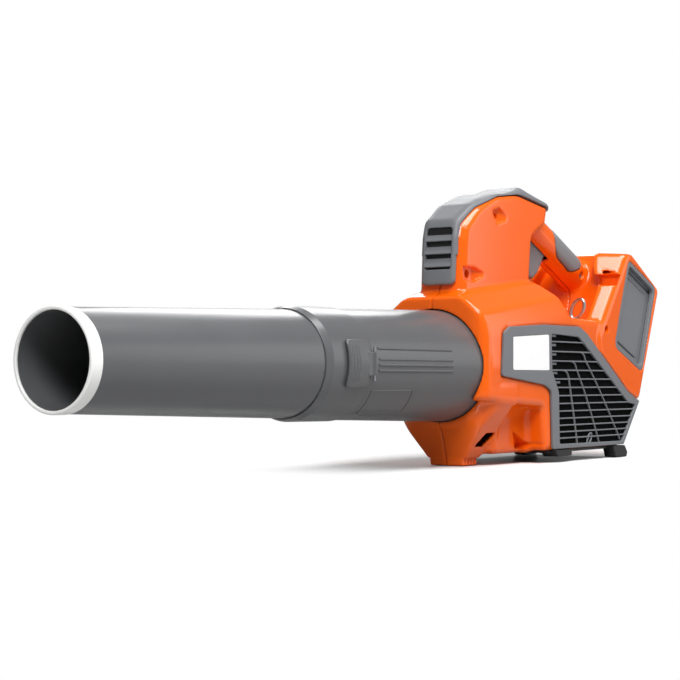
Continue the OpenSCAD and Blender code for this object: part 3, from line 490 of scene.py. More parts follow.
def skin(field, low, high, step):
    """Points and quads of the surface where field(s, y, h) is zero, in body millimetres with x ahead."""
    axes = [np.arange(a - 2.5 * step, b + 2.5 * step, step) for a, b in zip(low, high)]
    x, y, h = axes[0][:, None, None], axes[1][None, :, None], axes[2][None, None, :]
    value = np.broadcast_to(field(-x, y, h), [len(a) for a in axes]).astype(np.float32)
    solid = value < 0
    shape = [n - 1 for n in solid.shape]
    corners = [(i, j, k) for i in (0, 1) for j in (0, 1) for k in (0, 1)]
    count = sum(solid[i:i + shape[0], j:j + shape[1], k:k + shape[2]].astype(np.int8) for i, j, k in corners)
    cells = np.argwhere((count > 0) & (count < 8))
    index = np.full(shape, -1, np.int64)
    index[tuple(cells.T)] = np.arange(len(cells))
    total, hits = np.zeros((len(cells), 3)), np.zeros(len(cells))
    at_corner = {c: value[tuple((cells + c).T)] for c in corners}
    for a in corners:
        for axis in range(3):
            if a[axis]:
                continue
            b = tuple(c + (n == axis) for n, c in enumerate(a))
            va, vb = at_corner[a], at_corner[b]
            crossed = (va < 0) != (vb < 0)
            t = np.where(crossed, va / np.where(crossed, va - vb, 1), 0)
            total += np.where(crossed[:, None], np.array(a) + t[:, None] * (np.array(b) - a), 0)
            hits += crossed
    points = cells + total / hits[:, None]

    def sampled(p):
        p = np.clip(p, 0, np.array(value.shape) - 1.001)
        base = p.astype(int)
        part = p - base
        out = 0
        for c in corners:
            weight = np.prod(np.where(np.array(c), part, 1 - part), axis=1)
            out = out + weight * value[tuple((base + c).T)]
        return out

    for _ in range(SETTLE_STEPS):
        slope = np.stack([sampled(points + 0.5 * e) - sampled(points - 0.5 * e) for e in np.eye(3)], 1)
        steepness = np.maximum((slope ** 2).sum(1), 1e-6)
        points = points - np.clip(sampled(points) / steepness, -0.5, 0.5)[:, None] * slope
    return np.array([a[0] for a in axes]) + points * step, net(solid, index, shape)


def short_rod(s, y, h):
    return within(span(s, -5, 5), rod((0, 0), 5, y, h))


print("a short rod has", len(skin(short_rod, (-5, -5, -5), (5, 5, 5), 1)[1]), "faces")

# %% [markdown]
# A finished piece is a plain mesh at the origin with smooth faces, except where an edge is sharp.
# Normals weighted by face size keep the flats flat. Each piece then rides on its body.

# %% Pieces from meshes


def body_mesh(name, points, faces):
    """Object from body millimetres."""
    mesh = bpy.data.meshes.new(name)
    mesh.from_pydata(np.asarray(points).tolist(), [], np.asarray(faces).tolist())
    mesh.transform(BODY_TO_WORLD)
    mesh.update()
    return placed(name, mesh)


def evaluated(obj):
    """Plain mesh of an object with its modifiers or its bevel."""
    bpy.context.view_layer.update()
    graph = bpy.context.evaluated_depsgraph_get()
    final = obj.evaluated_get(graph)
    return bpy.data.meshes.new_from_object(final, preserve_all_data_layers=True, depsgraph=graph)


def settle(obj):
    """Applies an object's modifiers to its mesh."""
    mesh = evaluated(obj)
    obj.modifiers.clear()
    obj.data = mesh
    return obj


def shaded(obj, material, angle=40):
    """Smooth faces with sharp edges past an angle, weighted so that flats stay flat."""
    mesh = obj.data
    mesh.materials.clear()
    mesh.materials.append(material)
    mesh.polygons.foreach_set("use_smooth", [True] * len(mesh.polygons))
    mesh.polygons.foreach_set("material_index", [0] * len(mesh.polygons))
    mesh.set_sharp_from_angle(angle=math.radians(angle))
    obj.modifiers.new("Weighted", "WEIGHTED_NORMAL").keep_sharp = True
    return settle(obj)


def dress(obj, body, slot_name, *nodes):
    """Hangs a finished piece on its body and hides the CAD nodes that it stands for. The slot name is not
    used.
    """
    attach(obj, body)
    if nodes:
        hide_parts(*nodes)
    print(obj.name, len(obj.data.polygons), "faces")
    return obj


def moulding(name, field, low, high, step, material, keep=1.0, angle=50, mirrored=False):
    """A piece skinned from a field, thinned to a share of its faces."""
    points, faces = skin(field, low, high, step)
    if mirrored:
        points, faces = points * np.array([1, -1, 1]), faces[:, ::-1]
    made = body_mesh(name, points, faces)
    if keep < 1:
        made.modifiers.new("Thin", "DECIMATE").ratio = keep
        settle(made)
    return shaded(made, material, angle)


def moved(obj, place):
    """Moves a finished mesh by a matrix in body millimetres."""
    obj.data.transform(BODY_TO_WORLD @ place @ BODY_TO_WORLD.inverted())
    return obj


def on_side(side, obj):
    """Leaves a mesh on the left, or mirrors it to the right with its faces still outward."""
    if side < 0:
        obj.data.transform(Matrix.Scale(-1, 4, (0, 1, 0)))
        obj.data.flip_normals()
    return obj


SIDES = ((1, "left"), (-1, "right"))
print("sides", SIDES)

# %% [markdown]
# The two orange shells meet on the middle plane, screwed together from the left. Both follow the
# same outlines as the CAD halves. Edges get the few millimetres of rounding that a polished mould
# has, because that rounding catches the softboxes. First comes the block round the fan. Its roof is
# a front view that rises to the rear, read from a 1 mm grid because the full sum is slow.

# %% Block round the fan
HALF_W, BARREL_R, FAR = 63.0, 60.0, 600
BLOCK_SIDE = [[0, -34, 4], [124, -42, 6], [129, -87, 4], [312, -87, 4], [356, -37, 8], [340, 0, 0],
              [300, 50, 0], [188, 53, 16], [158, 92, 10], [17, 78, 8], [0, 67, 3]]
ROOF_FRONT = [[-63.1, -140, 0], [63.1, -140, 0], [63.1, 32, 20], [55, 56, 16], [30, 76, 8],
              [-30, 76, 8], [-55, 56, 16], [-63.1, 32, 20]]
ROOF_RISE, ROOF_AT = math.radians(8), 41
BLOCK_CORNER, BARREL_ENDS = 20, (17, 133)
ROOF_Y, ROOF_H = np.arange(-2, 80, 1.0), np.arange(-180, 130, 1.0)
ROOF_GRID = outline(ROOF_FRONT, ROOF_Y[:, None], ROOF_H[None, :])


def plan(half, radius, front, s, y):
    """Upright prism with rounded front corners, cut open to the rear."""
    return outline([[front, -half, radius], [FAR, -half, 0], [FAR, half, 0], [front, half, radius]], s, y)


def roof(s, y, h):
    level = h * math.cos(ROOF_RISE) - (s - ROOF_AT) * math.sin(ROOF_RISE)
    col = np.clip(np.abs(y) - ROOF_Y[0], 0, len(ROOF_Y) - 1.001)
    row = np.clip(level - ROOF_H[0], 0, len(ROOF_H) - 1.001)
    c0, r0 = col.astype(int), row.astype(int)
    fc, fr = col - c0, row - r0
    low = ROOF_GRID[c0, r0] * (1 - fc) + ROOF_GRID[c0 + 1, r0] * fc
    high = ROOF_GRID[c0, r0 + 1] * (1 - fc) + ROOF_GRID[c0 + 1, r0 + 1] * fc
    return low * (1 - fr) + high * fr


def block_form(s, y, h):
    sides = meet(outline(BLOCK_SIDE, s, h), np.abs(y) - HALF_W, 6)
    top = meet(roof(s, y, h), plan(HALF_W, BLOCK_CORNER, 0, s, y), 4)
    barrel = meet(rod((0, 0), BARREL_R, y, h), span(s, *BARREL_ENDS), 4)
    return join(meet(sides, top, 8), barrel, 4)


print("block", len(BLOCK_SIDE), "corners, roof", len(ROOF_FRONT))

# %% [markdown]
# The tower stands on the block and carries the handle. Beside the grey cover it has a slanted face,
# which shrinks to nothing as the cover widens to the rear. The handle slopes down behind it.

# %% Tower and handle
TOWER_HALF, STRIP_HALF = 27.0, 19.5
TOWER_SIDE = [[15, 60, 0], [160, 60, 0], [158, 94, 5], [163, 138, 10], [194, 154, 4], [199, 172, 4],
              [133, 180, 60], [89, 174, 40], [49, 159, 30], [24, 141, 8], [20, 128, 6]]
TOWER_CORNER, TOWER_FRONT = 14, 15
STRIP_BACK, WIDENING, COS_45 = 28, 60, 0.7071
HANDLE_AT, HANDLE_SLOPE = (182, 158.9), math.radians(23)
HANDLE_R, HANDLE_FLAT, HANDLE_TAPER = 17.5, 2.5, 3.0
HANDLE_MIDDLE, HANDLE_HALF = 75, 80


def cover_half(s):
    """Half the width of the grey cover: narrow in front, as wide as the tower further back."""
    ease = np.clip((s - STRIP_BACK) / WIDENING, 0, 1)
    return STRIP_HALF + (TOWER_HALF - STRIP_HALF) * ease * ease * (3 - 2 * ease)


def tower_form(s, y, h):
    side = outline(TOWER_SIDE, s, h)
    sides = meet(np.abs(y) - TOWER_HALF, plan(TOWER_HALF, TOWER_CORNER, TOWER_FRONT, s, y), 2)
    slanted = (np.abs(y) - cover_half(s) + side) * COS_45
    return meet(meet(side, sides, 5), slanted, 2)


def handle_frame(s, h):
    """Up across the handle and distance along it, from its front end."""
    back, up = s - HANDLE_AT[0], h - HANDLE_AT[1]
    sine, cosine = math.sin(HANDLE_SLOPE), math.cos(HANDLE_SLOPE)
    return sine * back + cosine * up, cosine * back - sine * up


def handle_form(s, y, h):
    """Grip with a full round top and a narrower underside."""
    up, along = handle_frame(s, h)
    half = HANDLE_R - HANDLE_TAPER * np.clip(-up / HANDLE_R, 0, 1) ** 2
    tall = np.maximum(np.abs(up) - HANDLE_FLAT, 0)
    wide = np.maximum(np.abs(y * HANDLE_R / half) - HANDLE_FLAT, 0)
    core = np.sqrt(tall ** 2 + wide ** 2) - (HANDLE_R - HANDLE_FLAT)
    return meet(core, np.abs(along - HANDLE_MIDDLE) - HANDLE_HALF, 4)


print("handle", 2 * HANDLE_R, "mm thick")

# %% [markdown]
# Behind the handle rises the battery housing, with slanted front corners and a saddle between its
# two wings for the heel of the hand. Below hang a belly and a front leg on a flat foot.

# %% Battery housing, belly and leg
REAR_SIDE = [[258, 5, 0], [330, -30, 0], [356, -37, 8], [411, 92, 7], [337, 129, 6], [300, 131, 5],
             [246, 50, 4]]
SLANT_AT, SLANT_WAY = (322, 63, 126), (0.6986, 0.4589, 0.549)
SADDLE_SIDE = [[200, 50, 0], [294, 50, 3], [306, 92, 3], [312, 108, 3], [321, 131, 0], [329, 150, 0],
               [200, 150, 0]]
SADDLE_LEVELS, SADDLE_HALVES = (89, 112, 131), (44, 33, 28)
BELLY_SIDE = [[52, -30, 0], [60, -86, 4], [68, -89, 4], [134, -89, 4], [138, -30, 0]]
LEG_SIDE = [[17, -20, 0], [17, -56, 3], [30, -94, 2], [58, -94, 2], [63, -85, 3], [67, -36, 0], [67, -20, 0]]
LEG_FRONT = [[-22, -94, 2], [22, -94, 2], [28, -85, 3], [59, -38, 0], [59, -20, 0], [-59, -20, 0],
             [-59, -38, 0], [-28, -85, 3]]
FOOT_SIDE = [[30, -100, 1], [58, -100, 1], [59, -91, 0], [29, -91, 0]]
BELLY_HALF, LEG_HALF, FOOT_HALF = 38, 59, 19
LEG_CORNER, LEG_AHEAD = 26, 17


def rear_form(s, y, h):
    steps = (SLANT_AT[0] - s, np.abs(y) - SLANT_AT[1], h - SLANT_AT[2])
    slant = sum(part * step for part, step in zip(SLANT_WAY, steps))
    block = meet(meet(outline(REAR_SIDE, s, h), np.abs(y) - HALF_W, 5), slant, 6)
    saddle = meet(outline(SADDLE_SIDE, s, h), np.abs(y) - np.interp(h, SADDLE_LEVELS, SADDLE_HALVES), 4)
    return cut(block, saddle, 5)


def leg_form(s, y, h):
    sides = meet(outline(LEG_FRONT, y, h), plan(LEG_HALF, LEG_CORNER, LEG_AHEAD, s, y), 6)
    return meet(outline(LEG_SIDE, s, h), sides, 5)


def housing_outer(s, y, h):
    body = join(block_form(s, y, h), tower_form(s, y, h), 4)
    body = join(body, meet(outline(BELLY_SIDE, s, h), np.abs(y) - BELLY_HALF, 7), 8)
    body = join(body, leg_form(s, y, h), 6)
    body = join(body, rear_form(s, y, h), 4)
    body = join(body, handle_form(s, y, h), 7)
    return join(body, meet(outline(FOOT_SIDE, s, h), np.abs(y) - FOOT_HALF, 1), 1)


print("saddle", [2 * v for v in SADDLE_HALVES], "mm wide")

# %% [markdown]
# What is missing from a shell matters as much as the shell: the leaning battery bay with a window in
# each flank, the hole for the tube, slots for trigger and leg, and the bed of the intake grille.

# %% Openings in both halves
WALL, GAP = 3.0, 0.4
BAY_S, BAY_H, BAT_TILT = 326.0, 124.5, 21.0
BAY_T, BAY_W, BAY_L, BAY_OPEN = 83.8, 114.4, 116.4, 70
BAY_WINDOW = oblong(-82.3, -107.5, -1.5, -1.6, 9, 7)
TUBE_HOLE, TUBE_DEEP = 56.0, 21
TRIGGER_SLOT = [[172, 128, 0], [236, 98.5, 0], [236, 128, 0], [196, 164, 0], [176, 162, 0]]
FRAME_SIDE = [[33, -10, 3], [122, -19, 8], [138, -25, 8], [141, -86, 3], [313, -86, 0], [355, -38, 0],
              [325, -27, 14], [221, 36, 16], [203, 43, 12], [120, 43, 30], [48, 39, 6], [37, 33, 4]]
REAR_CUT = [[309.6, -86.5, 0], [330, -86.5, 0], [372, -37.5, 0], [352, -35.6, 0], [309.6, -83.6, 0]]
LEG_SLOT = [[33, -80, 1], [51, -81, 1], [60, -67, 1], [42, -67, 1]]
WINDOW_FROM, SLOT_HALF, LEG_SLOT_FROM, OUTSIDE = 40, 7.6, 14, 80
FRAME_GAP, FRAME_BED = 0.7, 3.5


def in_bay(s, h):
    """Forward and up in the leaning frame of the battery bay."""
    return turned_by(BAT_TILT, s, h, BAY_S, BAY_H)


def bay_box(s, y, h, d):
    ahead, up = in_bay(s, h)
    return within(span(ahead, -BAY_T - d, d), np.abs(y) - BAY_W / 2 - d, span(up, -BAY_L - d, BAY_OPEN))


def housing_cuts(s, y, h):
    return either(
        bay_box(s, y, h, 0),
        within(outline(BAY_WINDOW, *in_bay(s, h)), WINDOW_FROM - np.abs(y)),
        within(rod((0, 0), TUBE_HOLE, y, h), s - TUBE_DEEP),
        plate(TRIGGER_SLOT, s, h, y, -SLOT_HALF, SLOT_HALF),
        plate(grown(FRAME_SIDE, FRAME_GAP), s, h, y, HALF_W - FRAME_BED, OUTSIDE),
        plate(REAR_CUT, s, h, y, -OUTSIDE, OUTSIDE),
        plate(LEG_SLOT, s, h, y, LEG_SLOT_FROM, OUTSIDE),
    )


print("battery bay", BAY_T, "x", BAY_W, "x", BAY_L, "mm")

# %% [markdown]
# Smaller rooms come next. The soft grip lies in a bed with an oval side. Five screws go in from the
# left, each at the bottom of a well, and the pockets round them run out towards the rear or upward.
# The keys need two round wells below the keypad, or they would touch the shells when pressed.

# %% Grip bed, screw pockets and key wells
GRIP_SIDE = [[53, 40, 0], [53, 6, 12], [65, -9.5, 22], [108, -11, 20], [124, 3, 12], [124, 40, 0]]
GRIP_DEEP, GRIP_OVER = 2.4, 3
SCREWS = [[36, 92], [90, 154], [300, 105], [113, -80], [269, 42]]
SEAT_Y, WELL_R, BOSS_R, BOSS_ENDS = 12.0, 4.2, 5.6, (26, 26, 16, 37, 62)
BLOCK_POCKET = [[23, 84.7, 1], [42, 84.7, 1], [65, 92.6, 1], [42, 98.9, 1], [23, 98.9, 1]]
TOWER_POCKET = [[78, 158.5, 1], [93, 162.5, 1.5], [112, 152.6, 1], [87, 145.6, 1]]
BELLY_POCKET = [[99, -66, 1], [130, -80, 1], [126, -86, 1], [104, -84, 1]]
POCKET_FLOOR, BELLY_FLOOR, POCKET_RUN = 20.5, 31, 30
DRIVER_S, DRIVER_Y, DRIVER_H = (262, 309), (36, 61), (92, 104.5)
KEYPAD_AT, KEYPAD_SLOPE = (174.0, 183.4), 11.1
KEY_REACH, KEY_WELL_R = 11, 8.7


def grip_bed(s, y, h, grow):
    """Layer of the handle that the soft grip takes the place of."""
    up, along = handle_frame(s, h)
    core = handle_form(s, y, h)
    return within(-GRIP_DEEP - grow - core, core - GRIP_OVER, outline(GRIP_SIDE, along, up) - grow)


def screw_pockets(s, y, h):
    """Pockets with their sloping floors, and the way of a driver to the handle's rear screw."""
    return either(
        within(outline(BLOCK_POCKET, s, h), POCKET_FLOOR + np.clip(s - 42, 0, POCKET_RUN) * 0.31 - y),
        within(outline(TOWER_POCKET, s, h), POCKET_FLOOR + np.clip(s - 90, 0, POCKET_RUN) * 0.33 - y),
        within(outline(BELLY_POCKET, s, h), BELLY_FLOOR - np.clip(-72 - h, -3, 10) * 0.6 - y),
        within(span(h, *DRIVER_H), span(y, *DRIVER_Y), span(s, *DRIVER_S)),
    )


def key_wells(s, y, h, low, high):
    ahead, up = turned_by(KEYPAD_SLOPE, s, h, *KEYPAD_AT)
    return within(rod((KEY_REACH, 0), KEY_WELL_R, np.abs(ahead), y), span(up, low, high))


print("screws", len(SCREWS))

# %% [markdown]
# Now the two halves. The left one also has the screw wells and the socket of the strap eye. Each is
# drawn on the left and the right one is mirrored, before both are thinned where they are flat.

# %% Housing halves
EYE_AT = (247.0, 38.0)
SOCKET_R, SOCKET_H, STEM_R, STEM_FLOOR = 5, (38, 49.8), 2.1, 41.8
TRIGGER_PIN, HUB_R, HUB_HALF = (187, 152), 4.6, 14.8
AIR_S, AIR_HALF, AIR_H = (5, 30), 11, (100, 134)
POCKET_WALL, BED_GAP, SEAM = 2.6, 0.3, 0.3
SHELL_LOW, SHELL_HIGH = (-414, 0, -101), (1, 64, 184)


def housing_half(left):
    """Field of one half, on the positive side of y."""
    def field(s, y, h):
        outer = housing_outer(s, y, h)
        body = cut(outer, within(outer + WALL, -bay_box(s, y, h, WALL)))
        if left:
            pockets = screw_pockets(s, y, h)
            body = either(body, within(pockets - POCKET_WALL, outer))
        for at, end in zip(SCREWS, BOSS_ENDS):
            body = either(body, within(rod(at, BOSS_R, s, h), y - end, outer))
        body = cut(body, housing_cuts(s, y, h), 1.2)
        body = cut(body, grip_bed(s, y, h, BED_GAP), 0.6)
        # Air slot behind the louvre, room for the trigger's hub, room for the keys
        body = cut(body, within(span(s, *AIR_S), y - AIR_HALF, span(h, *AIR_H)))
        body = cut(body, within(rod(TRIGGER_PIN, HUB_R, s, h), y - HUB_HALF))
        body = cut(body, key_wells(s, y, h, -7, 6))
        if left:
            wells = either(*[within(rod(at, WELL_R, s, h), SEAT_Y - y) for at in SCREWS])
            body = cut(body, pockets, 0.6)
            body = cut(body, wells, 0.6)
            body = either(body, within(rod(EYE_AT, SOCKET_R, s, y), span(h, *SOCKET_H)))
            body = cut(body, within(rod(EYE_AT, STEM_R, s, y), STEM_FLOOR - h), 0.8)
        return meet(body, SEAM - y, 1.0)
    return field


for side, name in SIDES:
    shell = moulding(name + "_shell", housing_half(side > 0), SHELL_LOW, SHELL_HIGH, grade(1.3),
                     orange_abs, grade(0.42), angle=40, mirrored=side < 0)
    dress(shell, "machine", "orange_shell", name + "_housing")

# %% [markdown]
# The grey cover caps the tower and runs down its front as a strip with a small louvre. It is one
# moulding, so it is one field: the crown's side outline, narrowed below to the width of the strip.

# %% Top cover
CROWN_SIDE = [[9, 80, 3], [36, 80, 0], [36, 120, 0], [140, 150, 0], [196, 168, 0], [203, 170, 2],
              [205, 177, 5], [143, 189.6, 12], [118, 180.5, 14], [90, 177, 30], [65, 170.5, 30],
              [46, 163, 12], [20, 146, 8], [15, 128, 8]]
STRIP_FRONT = oblong(-STRIP_HALF, 80, STRIP_HALF, 250, 6, 0)
STRIP_TOP = 110
LOUVRE, LOUVRE_DEEP = oblong(-15, 96, 15, 138, 2.5, 4), 40
COVER_T, COVER_CORNER, COVER_FRONT = 3, 22, 8
HUMP_S, HUMP_HALVES = (105, 140), (20, 26.5)
HOLLOW_S, HOLLOW_HALF, HOLLOW_FROM = (30, 230), 17, 150
PANEL_L, PANEL_W, PANEL_BED = 23, 17, 1.7


def cover_field(s, y, h):
    crown = outline(CROWN_SIDE, s, h)
    half = cover_half(s)
    rounding = plan(TOWER_HALF, COVER_CORNER, COVER_FRONT, s, y)
    low_crown = within(crown, outline(grown(TOWER_SIDE, COVER_T), s, h))
    edge = meet(low_crown, meet(np.abs(y) - half, rounding, 3), 5)
    broad = np.minimum(half, np.interp(s, HUMP_S, HUMP_HALVES))
    hump = meet(crown, meet(np.abs(y) - broad, rounding, 3), 9)
    strip = np.where(h < STRIP_TOP, outline(STRIP_FRONT, y, h), -OUTSIDE)
    body = meet(join(edge, hump, 6), strip, 2)
    body = cut(body, outline(grown(TOWER_SIDE, GAP), s, h), 0.5)
    body = cut(body, handle_form(s, y, h) - 0.5, 0.5)
    hollow = within(crown + WALL, np.abs(y) - HOLLOW_HALF, rounding + WALL)
    body = cut(body, within(hollow, span(s, *HOLLOW_S), HOLLOW_FROM - h))
    ahead, up = turned_by(KEYPAD_SLOPE, s, h, *KEYPAD_AT)
    panel = within(np.abs(ahead) - (PANEL_L + GAP), np.abs(y) - (PANEL_W + GAP))
    body = cut(body, within(panel, -PANEL_BED - up), 0.6)
    body = cut(body, key_wells(s, y, h, -9, 3))
    return cut(body, within(outline(LOUVRE, y, h), s - LOUVRE_DEEP), 0.8)


cover = moulding("Top_cover", cover_field, (-208, -28, 80), (-6, 28, 193), grade(1.0), grey_nylon,
                 grade(0.5))
dress(cover, "machine", "grey_plastic", "top_cover")

# %% [markdown]
# What repeats or follows a path is made with Geometry Nodes: ribs of the grille, raised lines of
# the tube, slats and screws. One tree sweeps a rounded bar along the edges of a line mesh.

# %% Trees for what repeats


def geometry_tree(name, **inputs):
    """New tree with geometry in and out, and inputs that are numbers or vectors as their defaults are."""
    tree = bpy.data.node_groups.new(name, "GeometryNodeTree")
    for way in ("INPUT", "OUTPUT"):
        tree.interface.new_socket(name="Geometry", in_out=way, socket_type="NodeSocketGeometry")
    names = {}
    for key, value in inputs.items():
        kind = "NodeSocketVector" if isinstance(value, tuple) else "NodeSocketFloat"
        socket = tree.interface.new_socket(name=key, in_out="INPUT", socket_type=kind)
        socket.default_value = value
        names[key] = socket.identifier
    return tree, names, add(tree, "NodeGroupInput").outputs


def end_tree(tree, shape, material):
    """Sends a shape out of the tree as a plain mesh with its material."""
    real = add(tree, "GeometryNodeRealizeInstances", Geometry=shape)
    coated = add(tree, "GeometryNodeSetMaterial", Geometry=real, Material=material)
    add(tree, "NodeGroupOutput", Geometry=coated)


def run_tree(obj, tree, names, **values):
    """Runs a tree on an object and keeps the plain mesh."""
    run = obj.modifiers.new(tree.name, "NODES")
    run.node_group = tree
    for key, value in values.items():
        run[names[key]] = value
    return settle(obj)


def lines_object(name, paths):
    """Mesh of open or closed lines. Each path is a list of points in metres and whether it closes."""
    points, edges = [], []
    for path, closed in paths:
        first = len(points)
        points += [tuple(p) for p in path]
        edges += [(first + i, first + i + 1) for i in range(len(path) - 1)]
        if closed:
            edges.append((first + len(path) - 1, first))
    mesh = bpy.data.meshes.new(name)
    mesh.from_pydata(points, edges, [])
    return placed(name, mesh)


def bars(name, paths, width, height, rounding, material, facing=(0, 1, 0)):
    """Rounded bars along lines, sizes in millimetres."""
    tree, names, given = geometry_tree("Bars_along_paths", Width=0.002, Height=0.002, Rounding=0.002,
                                       Facing=(0, 1, 0))
    curves = add(tree, "GeometryNodeMeshToCurve", Mesh=given["Geometry"])
    turned = add(tree, "GeometryNodeSetCurveNormal", {"mode": "FREE"}, Curve=curves, Normal=given["Facing"])
    section = add(tree, "GeometryNodeCurvePrimitiveQuadrilateral", Width=given["Width"],
                  Height=given["Height"])
    eased = add(tree, "GeometryNodeFilletCurve", {"mode": "POLY"}, Curve=section, Count=3,
                Radius=given["Rounding"])
    swept = add(tree, "GeometryNodeCurveToMesh", Curve=turned, Profile_Curve=eased, Fill_Caps=True)
    end_tree(tree, swept, material)
    made = run_tree(lines_object(name, paths), tree, names, Width=width * MM, Height=height * MM,
                    Rounding=rounding * MM, Facing=facing)
    return shaded(made, material)


def together(name, first, *rest):
    """Joins meshes into the first object."""
    whole = bmesh.new()
    for obj in (first, *rest):
        whole.from_mesh(obj.data)
    whole.to_mesh(first.data)
    whole.free()
    for obj in rest:
        bpy.data.objects.remove(obj)
    first.name = name
    return first


print("trees ready")

# %% [markdown]
# Three slats lean across the louvre and shed rain, and four small treads stand on each flank of the
# front foot. Both are straight bars, so the same tree draws them.

# %% Louvre slats and foot ribs
SLAT_LEVELS = (102.6, 115.6, 128.6)
STRIP_LEAN, STRIP_LOW = 0.133, (9, 83)
SLAT_DEEP, SLAT_HALF = 3.4, 15.3
TREADS, TREAD_AT, TREAD_PITCH, TREAD_Y, TREAD_H = 4, 36, 6.2, 18.9, (-99, -93.5)

slats = []
for level in SLAT_LEVELS:
    front = STRIP_LOW[0] + (level - STRIP_LOW[1]) * STRIP_LEAN
    slats.append(([world(front + SLAT_DEEP, y, level) for y in (-SLAT_HALF, SLAT_HALF)], False))
louvre = bars("Louvre_slats", slats, 1.8, 10.4, 0.6, grey_nylon, facing=(0.83, 0, 0.56))
dress(louvre, "machine", "grey_plastic")

treads = [([world(TREAD_AT + TREAD_PITCH * i, side * TREAD_Y, h) for h in TREAD_H], False)
          for side in (1, -1) for i in range(TREADS)]
dress(bars("Foot_ribs", treads, 2.0, 2.0, 0.5, orange_abs), "machine", "orange_shell")

# %% [markdown]
# Flat pieces such as the grille frame, label plates and feet are cut like sheet: a filled outline
# with holes, given a thickness and a small bevel. A 2D curve does all of that at once. The first is
# a black sheet behind the louvre: painted shade that darkens the gaps between the slats
# and hides the inside of the tower.

# %% Slabs and the painted shade behind the louvre
SHADE_SHEET_SIDE = [[16.2, 94.5, 0], [17.0, 94.5, 0], [20.3, 139.5, 0], [19.5, 139.5, 0]]
WELD = 0.00001


def cleaned(mesh, weld=0.0):
    """Merges doubles where asked and turns all faces outward."""
    work = bmesh.new()
    work.from_mesh(mesh)
    if weld:
        bmesh.ops.remove_doubles(work, verts=work.verts, dist=weld)
    bmesh.ops.recalc_face_normals(work, faces=work.faces)
    work.to_mesh(mesh)
    work.free()
    return mesh


def mesh_of(curve):
    maker = placed("Maker", curve)
    mesh = evaluated(maker)
    bpy.data.objects.remove(maker)
    return mesh


def slab(name, outlines, low_y, high_y, bevel, place=Matrix.Identity(4)):
    """Filled outlines between two widths, in body millimetres."""
    curve = bpy.data.curves.new(name, "CURVE")
    curve.dimensions = "2D"
    curve.fill_mode = "BOTH"
    for points in outlines:
        path = rounded(points)
        spline = curve.splines.new("POLY")
        spline.points.add(len(path) - 1)
        for point, (s, h) in zip(spline.points, path):
            point.co = (-s, h, 0, 1)
        spline.use_cyclic_u = True
    curve.extrude = max((high_y - low_y) / 2 - bevel, 0.001)
    curve.bevel_depth, curve.bevel_resolution, curve.offset = bevel, 2, -bevel
    mesh = mesh_of(curve)
    upright = Matrix.Translation((0, (low_y + high_y) / 2, 0)) @ Matrix.Rotation(math.radians(90), 4, "X")
    mesh.transform(BODY_TO_WORLD @ place @ upright)
    return placed(name, cleaned(mesh, WELD))


# Black sheet behind the slats: painted shade in the louvre's gaps, which also hides the inside of the tower
louvre_shade = shaded(slab("Louvre_backing", [SHADE_SHEET_SIDE], -15.8, 15.8, 0.1), black_nylon)
dress(louvre_shade, "machine", "black_plastic")

# %% [markdown]
# Each intake has a grey frame with level ribs that draw closer downward, three hooked ribs across
# them, short stubs behind and a slanted eye for a driver. Ribs follow paths, so the bar tree makes
# them, and the frame is a slab with two holes: one for the vent and one for the label plate.

# %% Paths of the ribs
VENT_SIDE = [[139, -4, 4], [154, -27, 6], [156, -81, 3], [309.5, -82, 2], [345, -41.5, 2],
             [326, -39.5, 6], [212, 26, 8], [200, 32, 6], [137, 34, 3]]
HOOKED_RIBS = [[[166, -4], [188, -44], [198, -82]], [[184, 5.5], [222, -32], [251, -82]],
               [[205, 15.7], [258, -28], [304, -80]]]
LEVEL_RIBS, RIB_TOP, RIB_PITCH, RIB_CLOSING = 13, 26, 10.4, 0.165
STUBS, STUB_TOP, STUB_PITCH, STUB_L = 6, 32.2, 9.7, 14
HOOK_END, HOOK_LEAN = (12, -8), (9, 0)
DRIVER_AT, DRIVER_HALF_L, DRIVER_LEAN, DRIVER_HALF_H = (227, -77.5), 4.2, 3.4, 6.4
LEVEL_Y, HOOKED_Y, STUB_Y, DRIVER_EYE_Y = 61.6, 61.7, 60.6, 61.8


def across_vent(h):
    """Where a level line enters and leaves the vent."""
    path = rounded(VENT_SIDE)
    hits = []
    for a, b in zip(path, np.roll(path, -1, axis=0)):
        if (a[1] > h) != (b[1] > h):
            hits.append(a[0] + (b[0] - a[0]) * (h - a[1]) / (b[1] - a[1]))
    return (min(hits), max(hits)) if len(hits) > 1 else None


def bowed(a, b, c, count):
    """Points on a curve from a to c that leans towards b."""
    a, b, c = np.array(a), np.array(b), np.array(c)
    return [(1 - t) ** 2 * a + 2 * t * (1 - t) * b + t * t * c for t in np.linspace(0, 1, count)]


def grille_ribs(side):
    paths = []
    for i in range(LEVEL_RIBS):
        h = RIB_TOP - RIB_PITCH * i + RIB_CLOSING * i * i
        ends = across_vent(h)
        if ends:
            paths.append(([world(s, side * LEVEL_Y, h) for s in (ends[0] - 1.5, ends[1] + 1.5)], False))
    for a, b, c in HOOKED_RIBS:
        bend = np.array(a) + HOOK_END
        curve = bowed(a, np.array(a) + HOOK_LEAN, bend, 7) + bowed(bend, b, c, 14)[1:]
        paths.append(([world(p[0], side * HOOKED_Y, p[1]) for p in curve], False))
    return paths


def grille_stubs(side):
    """Short bars between the upper ribs, set back against the screen."""
    paths = []
    for i in range(STUBS):
        h = STUB_TOP - STUB_PITCH * i
        start = across_vent(h)[0] - 1
        paths.append(([world(s, side * STUB_Y, h) for s in (start, start + STUB_L)], False))
    return paths


def driver_eye(side):
    """Slanted oval eye round the way to a hidden screw."""
    loop = []
    for a in np.linspace(0, 2 * math.pi, 28, endpoint=False):
        along = DRIVER_AT[0] + DRIVER_HALF_L * math.cos(a) + DRIVER_LEAN * math.sin(a)
        loop.append(world(along, side * DRIVER_EYE_Y, DRIVER_AT[1] + DRIVER_HALF_H * math.sin(a)))
    return [(loop, True)]


print("rib paths", len(grille_ribs(1)))

